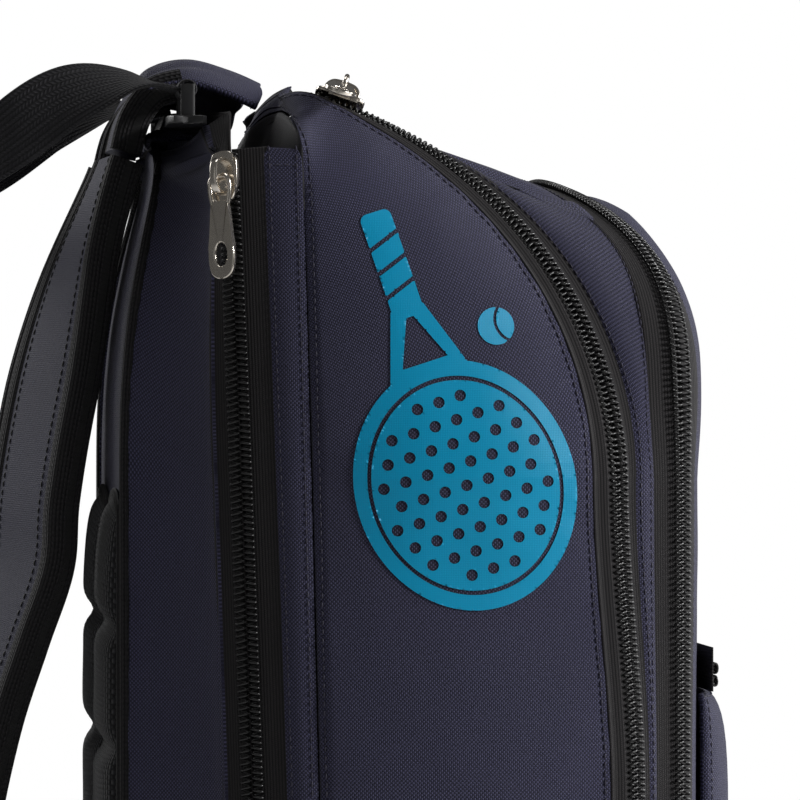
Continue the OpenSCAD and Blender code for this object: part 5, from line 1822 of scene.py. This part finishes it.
@dataclass
class Strap:
    """One shoulder strap with its mesh, binding, ladder lock and webbing."""

    side: Side
    back_y: float = 106.0
    body_h: float = 503.0
    foot: float = 118.0
    width: float = 62.0
    thick: float = 11.0
    steps: int = 10
    shape: Tuple[Tuple[float, float, float], ...] = (
        (-57, 0, 0.953), (-58, 13, 0.855), (-60, 24, 0.733), (-61, 30, 0.642), (-61, 32, 0.579),
        (-62, 41, 0.509), (-65, 51, 0.429), (-69, 59, 0.327), (-74, 60, 0.229))

    @property
    def body(self) -> Body:
        """Body that the strap moves with."""
        return Body.STRAP_LEFT if self.side is Side.LEFT else Body.STRAP_RIGHT

    def rise(self, part: float) -> float:
        """Height of a point between the strap's foot and the bag's top."""
        return self.foot + (self.body_h - self.foot) * part

    def path(self) -> Array:
        """Middle line of the strap on the left side."""
        return catmull([[x, self.back_y + y, self.rise(p)] for x, y, p in self.shape], self.steps)

    def turns(self, count: int) -> Array:
        """Directions across the strap on the left side."""
        i = np.arange(count) * 3.0 / self.steps
        a = np.radians([4 + 16 * smooth(float(k) / 6) for k in i])
        return np.stack([-np.cos(a), -np.sin(a), 0 * a], axis=1)

    def sweep(self, name: str, path: Array, sides: Array, section: Array) -> bpy.types.Object:
        """Sweep a section along the strap on the asked side."""
        if self.side is Side.RIGHT:
            section = section[::-1]
        return sweep_piece(name, sided(path, self.side), sided(sides, self.side),
                           section * (np.array([1.0, -1.0]) if self.side is Side.RIGHT else 1.0))

    def build(self) -> None:
        """Build the strap's pieces."""
        w = self.side.word
        path = self.path()
        sides = self.turns(len(path))
        pad = self.sweep(f"strap_{w}_foam", path, sides, oval(self.width - 4, self.thick, 48, 0.5))
        place_piece(pad, "navy_oxford_strap", self.body, [f"strap_{w}_pad"])
        under = np.array([[x, -self.thick / 2 - 0.9] for x in np.linspace(-21, 21, 15)])
        section = np.concatenate([under - [0, 0.7], (under + [0, 0.7])[::-1]])
        mesh = self.sweep(f"strap_{w}_lining", path, sides, section)
        place_piece(mesh, "spacer_mesh", self.body, [f"strap_{w}_mesh"])
        edge = oval(10.0, self.thick + 1, 28, 0.62)
        for tag, x in (("outer", self.width / 2 - 4.5), ("inner", 4.5 - self.width / 2)):
            bind = self.sweep(f"strap_{w}_binding_{tag}", path, sides, edge + np.array([x, 0]))
            place_piece(bind, "edge_binding", self.body, [f"strap_{w}_binding"])
        d = along(path)
        s = unit(sides - d * np.sum(sides * d, axis=1, keepdims=True))
        n = np.cross(d, s)
        lines = []
        for x in (-(self.width / 2 - 12.5), self.width / 2 - 12.5):
            for y in (1.0, -1.0):
                q = path + s * x + n * y * (self.thick / 2 - 0.1)
                lines.append((sided(q, self.side), sided(n * y, self.side)))
        place_piece(stitch_piece(f"strap_{w}_stitches", lines), "black_thread", self.body)
        self.lock(path[-1])
        self.webbing(path[-1])

    def lock(self, end: Array) -> None:
        """Build the ladder lock."""
        w = self.side.word
        b = Block()
        bars = [(-12, -9.6), (-3.6, -0.8), (5.2, 12)]
        for x in (-15.5, 15.5):
            b.prism(rounded([(x - 2, -11.6), (x + 2, -11.6), (x + 2.2, 0), (x + 2, 11.6), (x - 2, 11.6),
                             (x - 2.2, 0)], 4), -2, 2, 0.7)
        for low, high in bars:
            line = np.array([[x, (low + high) / 2, 0] for x in np.linspace(-15, 15, 9)])
            b.tube(line, np.tile([0, 1.0, 0], (9, 1)), oval(high - low, 3.6, 16, 0.6))
        turn = (Matrix.Rotation(math.radians(-18) * self.side.value, 4, "Z")
                @ Matrix.Rotation(math.radians(-4), 4, "X") @ Matrix.Rotation(math.pi / 2, 4, "X"))
        spot = sided(end + np.array([-0.5, 0, -14]), self.side)
        obj = b.piece(f"strap_{w}_ladder_lock", Matrix.Scale(MM, 4) @ Matrix.Translation(spot) @ turn)
        place_piece(obj, "acetal", self.body, [f"strap_{w}_buckle"])

    def webbing(self, end: Array) -> None:
        """Build the adjusting webbing."""
        w = self.side.word
        anchor = np.array([-100, self.back_y + 6, self.foot])
        path = catmull([end + np.array([0, -1, -24]), [-82, self.back_y + 50, self.rise(0.104)],
                        [-92, self.back_y + 26, self.rise(0.042)], anchor + np.array([0, 1.5, -2])], 14)
        sides = np.tile([-0.95, -0.3, 0], (len(path), 1))
        obj = self.sweep(f"strap_{w}_adjuster", path, sides, oval(25.0, 1.6, 40, 0.3))
        place_piece(obj, "ribbed_webbing", self.body, [f"strap_{w}_webbing"])


@dataclass
class Handle:
    """Webbing grab handle in two loops."""

    back_y: float = 106.0
    top: float = 503.0
    end_x: float = 98.0
    width: float = 25.0
    thick: float = 1.8
    eye_r: float = 3.6

    def build(self) -> None:
        """Build the handle, its loops and its mounts."""
        y, z = self.back_y - 22, self.top + 6
        half = catmull([[-self.end_x, y + self.eye_r - 0.4, z], [-self.end_x - 1, y + 20, z + 3],
                        [-self.end_x, y + 43, z - 3], [-89, y + 66, z - 19], [-62, y + 82, z - 29],
                        [-30, y + 86, z - 32], [0, y + 87, z - 33]], 12)
        path = np.concatenate([half, mirrored(half[-2::-1])])
        n = len(path) - 1
        sides = []
        for i in range(n + 1):
            a = math.radians(88 * smooth((min(i, n - i) / (n / 2) - 0.04) / 0.42))
            sides.append([(-1 if i <= n / 2 else 1) * math.cos(a), 0, -math.sin(a)])
        band = sweep_piece("grab_handle_webbing", path, np.array(sides),
                           oval(self.width, self.thick, 48, 0.3))
        place_piece(band, "ribbed_webbing", Body.HANDLE, ["grab_handle"])
        for side in Side:
            a = np.linspace(0, 2 * math.pi, 33)
            spot = sided(np.array([-self.end_x, y, z]), side)
            loop = spot + np.stack([0 * a, 2.85 * np.cos(a), 2.85 * np.sin(a)], axis=1)
            eye = sweep_piece(f"handle_loop_{side.word}", loop, np.tile([1.0, 0, 0], (33, 1)),
                              oval(self.width - 1, 1.5, 32, 0.3))
            place_piece(eye, "ribbed_webbing", Body.HANDLE, ["handle_loops"])
            b = Block()
            pin = np.array([[x, 0, 0] for x in np.linspace(-16.5, 16.5, 9)])
            b.tube(pin, np.tile([0, 1.0, 0], (9, 1)), oval(3.5, 3.5, 20, 1.0))
            for x in (-15.5, 15.5):
                post = np.array([[x, 0, q] for q in np.linspace(-11.5, 1.5, 6)])
                b.tube(post, np.tile([0, 1.0, 0], (6, 1)), oval(5.0, 2.0, 16, 0.6))
            b.prism(rounded([(-17, -6.3), (17, -6.3), (17.5, 0), (17, 6.3), (-17, 6.3), (-17.5, 0)], 4),
                    -12.5, -9.5, 0.8)
            obj = b.piece(f"handle_mount_{side.word}", Matrix.Scale(MM, 4) @ Matrix.Translation(spot))
            place_piece(obj, "acetal", Body.BACK, ["handle_mounts"])


# ---------------------------------------------------------------- mark
@dataclass
class Mark:
    """Generic padel racket and ball, pressed onto the side wall as thin film."""

    tracks: Tracks
    grid: Array
    lift: float = 0.42
    cell: float = 0.5
    head_y: float = -8.5
    head_z: float = 374.0
    scale: float = 0.87
    turn: float = math.radians(-18)

    def distance(self, u: Array, v: Array) -> Array:
        """Signed distance to the mark's outline, below 0 inside.

        Args:
            u: place to the right, in mm, from the middle of the head.
            v: place up, in mm.

        Returns:
            Distances in mm.
        """
        def circle(x: float, y: float, r: float) -> Array:
            return np.hypot(u - x, v - y) - r

        def box(x: float, y: float, w: float, h: float, r: float) -> Array:
            dx, dy = np.abs(u - x) - w + r, np.abs(v - y) - h + r
            return np.hypot(np.maximum(dx, 0), np.maximum(dy, 0)) + np.minimum(np.maximum(dx, dy), 0) - r

        head = np.hypot(u / 44.0, (v + 4) / 50.0) * 46.0 - 46.0
        neck = np.maximum(np.abs(u) - (17 - (v - 40) * 0.34), np.maximum(38 - v, v - 70))
        gap = np.maximum(np.abs(u) - (9.5 - (v - 47) * 0.42), np.maximum(47 - v, v - 66))
        shape = np.minimum(np.minimum(head, neck), box(0, 88, 6.4, 22, 3.0))
        shape = np.maximum(shape, -gap)
        for k in range(3):
            shape = np.maximum(shape, -(np.abs(v - (78 + 10 * k) - u * 0.35) - 0.9))
        for i in range(-4, 5):
            for j in range(-4, 5):
                x, y = i * 9.0 + (4.5 if j % 2 else 0), -4 + j * 8.6
                if (x / 33) ** 2 + ((y + 4) / 39) ** 2 < 1:
                    shape = np.maximum(shape, -circle(x, y, 2.3))
        ring = np.abs(np.hypot(u / 44.0, (v + 4) / 50.0) * 46.0 - 39.5) - 0.8
        shape = np.maximum(shape, -ring)
        ball = circle(32, 52, 7.5)
        seam = np.abs(np.hypot(u - 41, v - 52) - 9.0) - 0.6
        return np.minimum(shape, np.maximum(ball, -seam))

    def build(self) -> None:
        """Build the film on both side walls."""
        half = self.grid[:self.tracks.half + 1]
        cloth = BVHTree.FromPolygons([tuple(p) for p in half.reshape(-1, 3)],
                                     grid_faces(half.shape[0], half.shape[1]))
        from_z = np.arange(self.head_z - 62, self.head_z + 116, self.cell)
        from_y = np.arange(self.head_y - 72, self.head_y + 72, self.cell)
        yy, zz = np.meshgrid(from_y, from_z)
        c, s = math.cos(self.turn), math.sin(self.turn)
        right, up = -(yy - self.head_y), zz - self.head_z
        u, v = right * c - up * s, right * s + up * c
        sdf = self.distance(u / self.scale, v / self.scale) * self.scale
        gy, gx = np.gradient(sdf, self.cell)
        near = np.abs(sdf) < self.cell * 0.95
        size = np.maximum(gx ** 2 + gy ** 2, 0.2)
        yy = yy - np.where(near, sdf * gx / size, 0)
        zz = zz - np.where(near, sdf * gy / size, 0)
        inside = sdf < self.cell * 0.5
        points = np.stack([0 * yy, yy, zz], axis=2)
        for i, j in zip(*np.nonzero(sdf < self.cell * 2)):
            hit = cloth.ray_cast(Vector((-400.0, yy[i, j], zz[i, j])), Vector((1.0, 0.0, 0.0)))[0]
            if hit is None:
                inside[i, j] = False
            else:
                points[i, j, 0] = hit.x - self.lift
        rows, cols = inside.shape
        keep = inside[:-1, :-1] & inside[1:, :-1] & inside[:-1, 1:] & inside[1:, 1:]
        index = np.arange(rows * cols).reshape(rows, cols)
        ii, jj = np.nonzero(keep)
        quads = np.stack([index[ii, jj], index[ii + 1, jj], index[ii + 1, jj + 1], index[ii, jj + 1]], axis=1)
        used, compact = np.unique(quads, return_inverse=True)
        quads = compact.reshape(quads.shape)
        flat = points.reshape(-1, 3)[used]
        uv = np.stack([flat[:, 1], flat[:, 2]], axis=1)
        for side in Side:
            faces = quads if side is Side.LEFT else quads[:, ::-1]
            obj = mesh_piece(f"racket_mark_{side.word}", sided(flat, side), faces.tolist(), uv)
            place_piece(obj, "blue_film", Body.BAG)


# ---------------------------------------------------------------- studio
@dataclass
class Studio:
    """Camera, lights, floor and world."""

    aim: Tuple[float, float, float] = (-0.148, 0.0126, 0.400)
    turn: float = math.radians(5)
    distance: float = 2.1
    lens: float = 274.0

    def area(self, name: str, spot: Sequence[float], target: Sequence[float], size: float,
             power: float, tint: Tuple[float, float, float] = (1, 1, 1)) -> None:
        """Add a soft area light aimed at a point."""
        data = bpy.data.lights.new(name, "AREA")
        data.shape, data.size, data.energy, data.color = "DISK", size, power, tint
        obj = bpy.data.objects.new(name, data)
        bpy.context.scene.collection.objects.link(obj)
        obj.location = spot
        obj.rotation_euler = (Vector(target) - Vector(spot)).to_track_quat("-Z", "Y").to_euler()

    def world(self) -> None:
        """White backdrop to the camera, softer light on the bag."""
        world = bpy.data.worlds.new("studio")
        bpy.context.scene.world = world
        world.use_nodes = True
        world.node_tree.nodes.clear()
        kit = NodeKit(world.node_tree)
        path = kit.node("ShaderNodeLightPath")
        soft, white = kit.node("ShaderNodeBackground"), kit.node("ShaderNodeBackground")
        soft.inputs[0].default_value, soft.inputs[1].default_value = (1, 1, 1, 1), 0.08
        white.inputs[0].default_value, white.inputs[1].default_value = (1, 1, 1, 1), 1.0
        mixer = kit.node("ShaderNodeMixShader")
        kit.feed(mixer.inputs[0], path.outputs["Is Camera Ray"])
        kit.feed(mixer.inputs[1], soft.outputs[0])
        kit.feed(mixer.inputs[2], white.outputs[0])
        kit.feed(kit.node("ShaderNodeOutputWorld").inputs[0], mixer.outputs[0])

    def floor(self) -> None:
        """Pale floor that curves up nowhere."""
        obj = mesh_piece("studio_floor", np.array([[-4000, -4000, -0.6], [1400, -4000, -0.6],
                                                   [1400, 4000, -0.6], [-4000, 4000, -0.6]], dtype=float),
                         [(0, 1, 2, 3)])
        mat, kit, shader = start_material("pale_floor")
        where = kit.node("ShaderNodeTexCoord").outputs["Object"]
        kit.feed(shader.inputs["Base Color"], kit.mix(kit.noise(where, 6.0), (0.80, 0.80, 0.80, 1),
                                                      (0.86, 0.86, 0.86, 1)))
        shader.inputs["Roughness"].default_value = 0.7
        obj.data.materials.append(mat)

    def build(self) -> None:
        """Set the camera, the lights and the floor."""
        data = bpy.data.cameras.new("view")
        data.lens, data.sensor_width, data.clip_end = self.lens, 36.0, 50.0
        cam = bpy.data.objects.new("view", data)
        bpy.context.scene.collection.objects.link(cam)
        aim = Vector(self.aim)
        cam.location = aim + Vector((-math.cos(self.turn), math.sin(self.turn), 0)) * self.distance
        cam.rotation_euler = (aim - cam.location).to_track_quat("-Z", "Y").to_euler()
        bpy.context.scene.camera = cam
        bpy.context.scene.view_settings.view_transform = "Standard"
        self.area("key", (-1.0, -1.9, 1.3), (0, 0, 0.34), 0.5, 38)
        self.area("rim", (0.5, -1.7, 0.7), (0, 0, 0.3), 0.6, 16)
        self.area("fill", (-1.6, 1.5, 0.8), (0, 0, 0.3), 1.4, 0.9)
        self.area("top", (-0.2, 0.3, 2.2), (0, 0, 0.4), 1.0, 6)
        self.area("back", (1.5, 1.3, 1.2), (0, 0, 0.3), 1.2, 14)
        self.world()
        self.floor()


def main() -> None:
    """Build the whole bag around the frame and light it."""
    logging.basicConfig(level=logging.INFO)
    Studio().build()
    cloth = Cloth(TRACKS)
    wall = BagShell(TRACKS, cloth).build()
    front = FrontZone(TRACKS, cloth)
    front.build()
    Zips(TRACKS).build()
    Hardware(TRACKS).build()
    BackZone(TRACKS, cloth, front).build()
    for side in Side:
        Strap(side).build()
    Handle().build()
    Mark(TRACKS, wall).build()


if __name__ == "__main__":
    main()
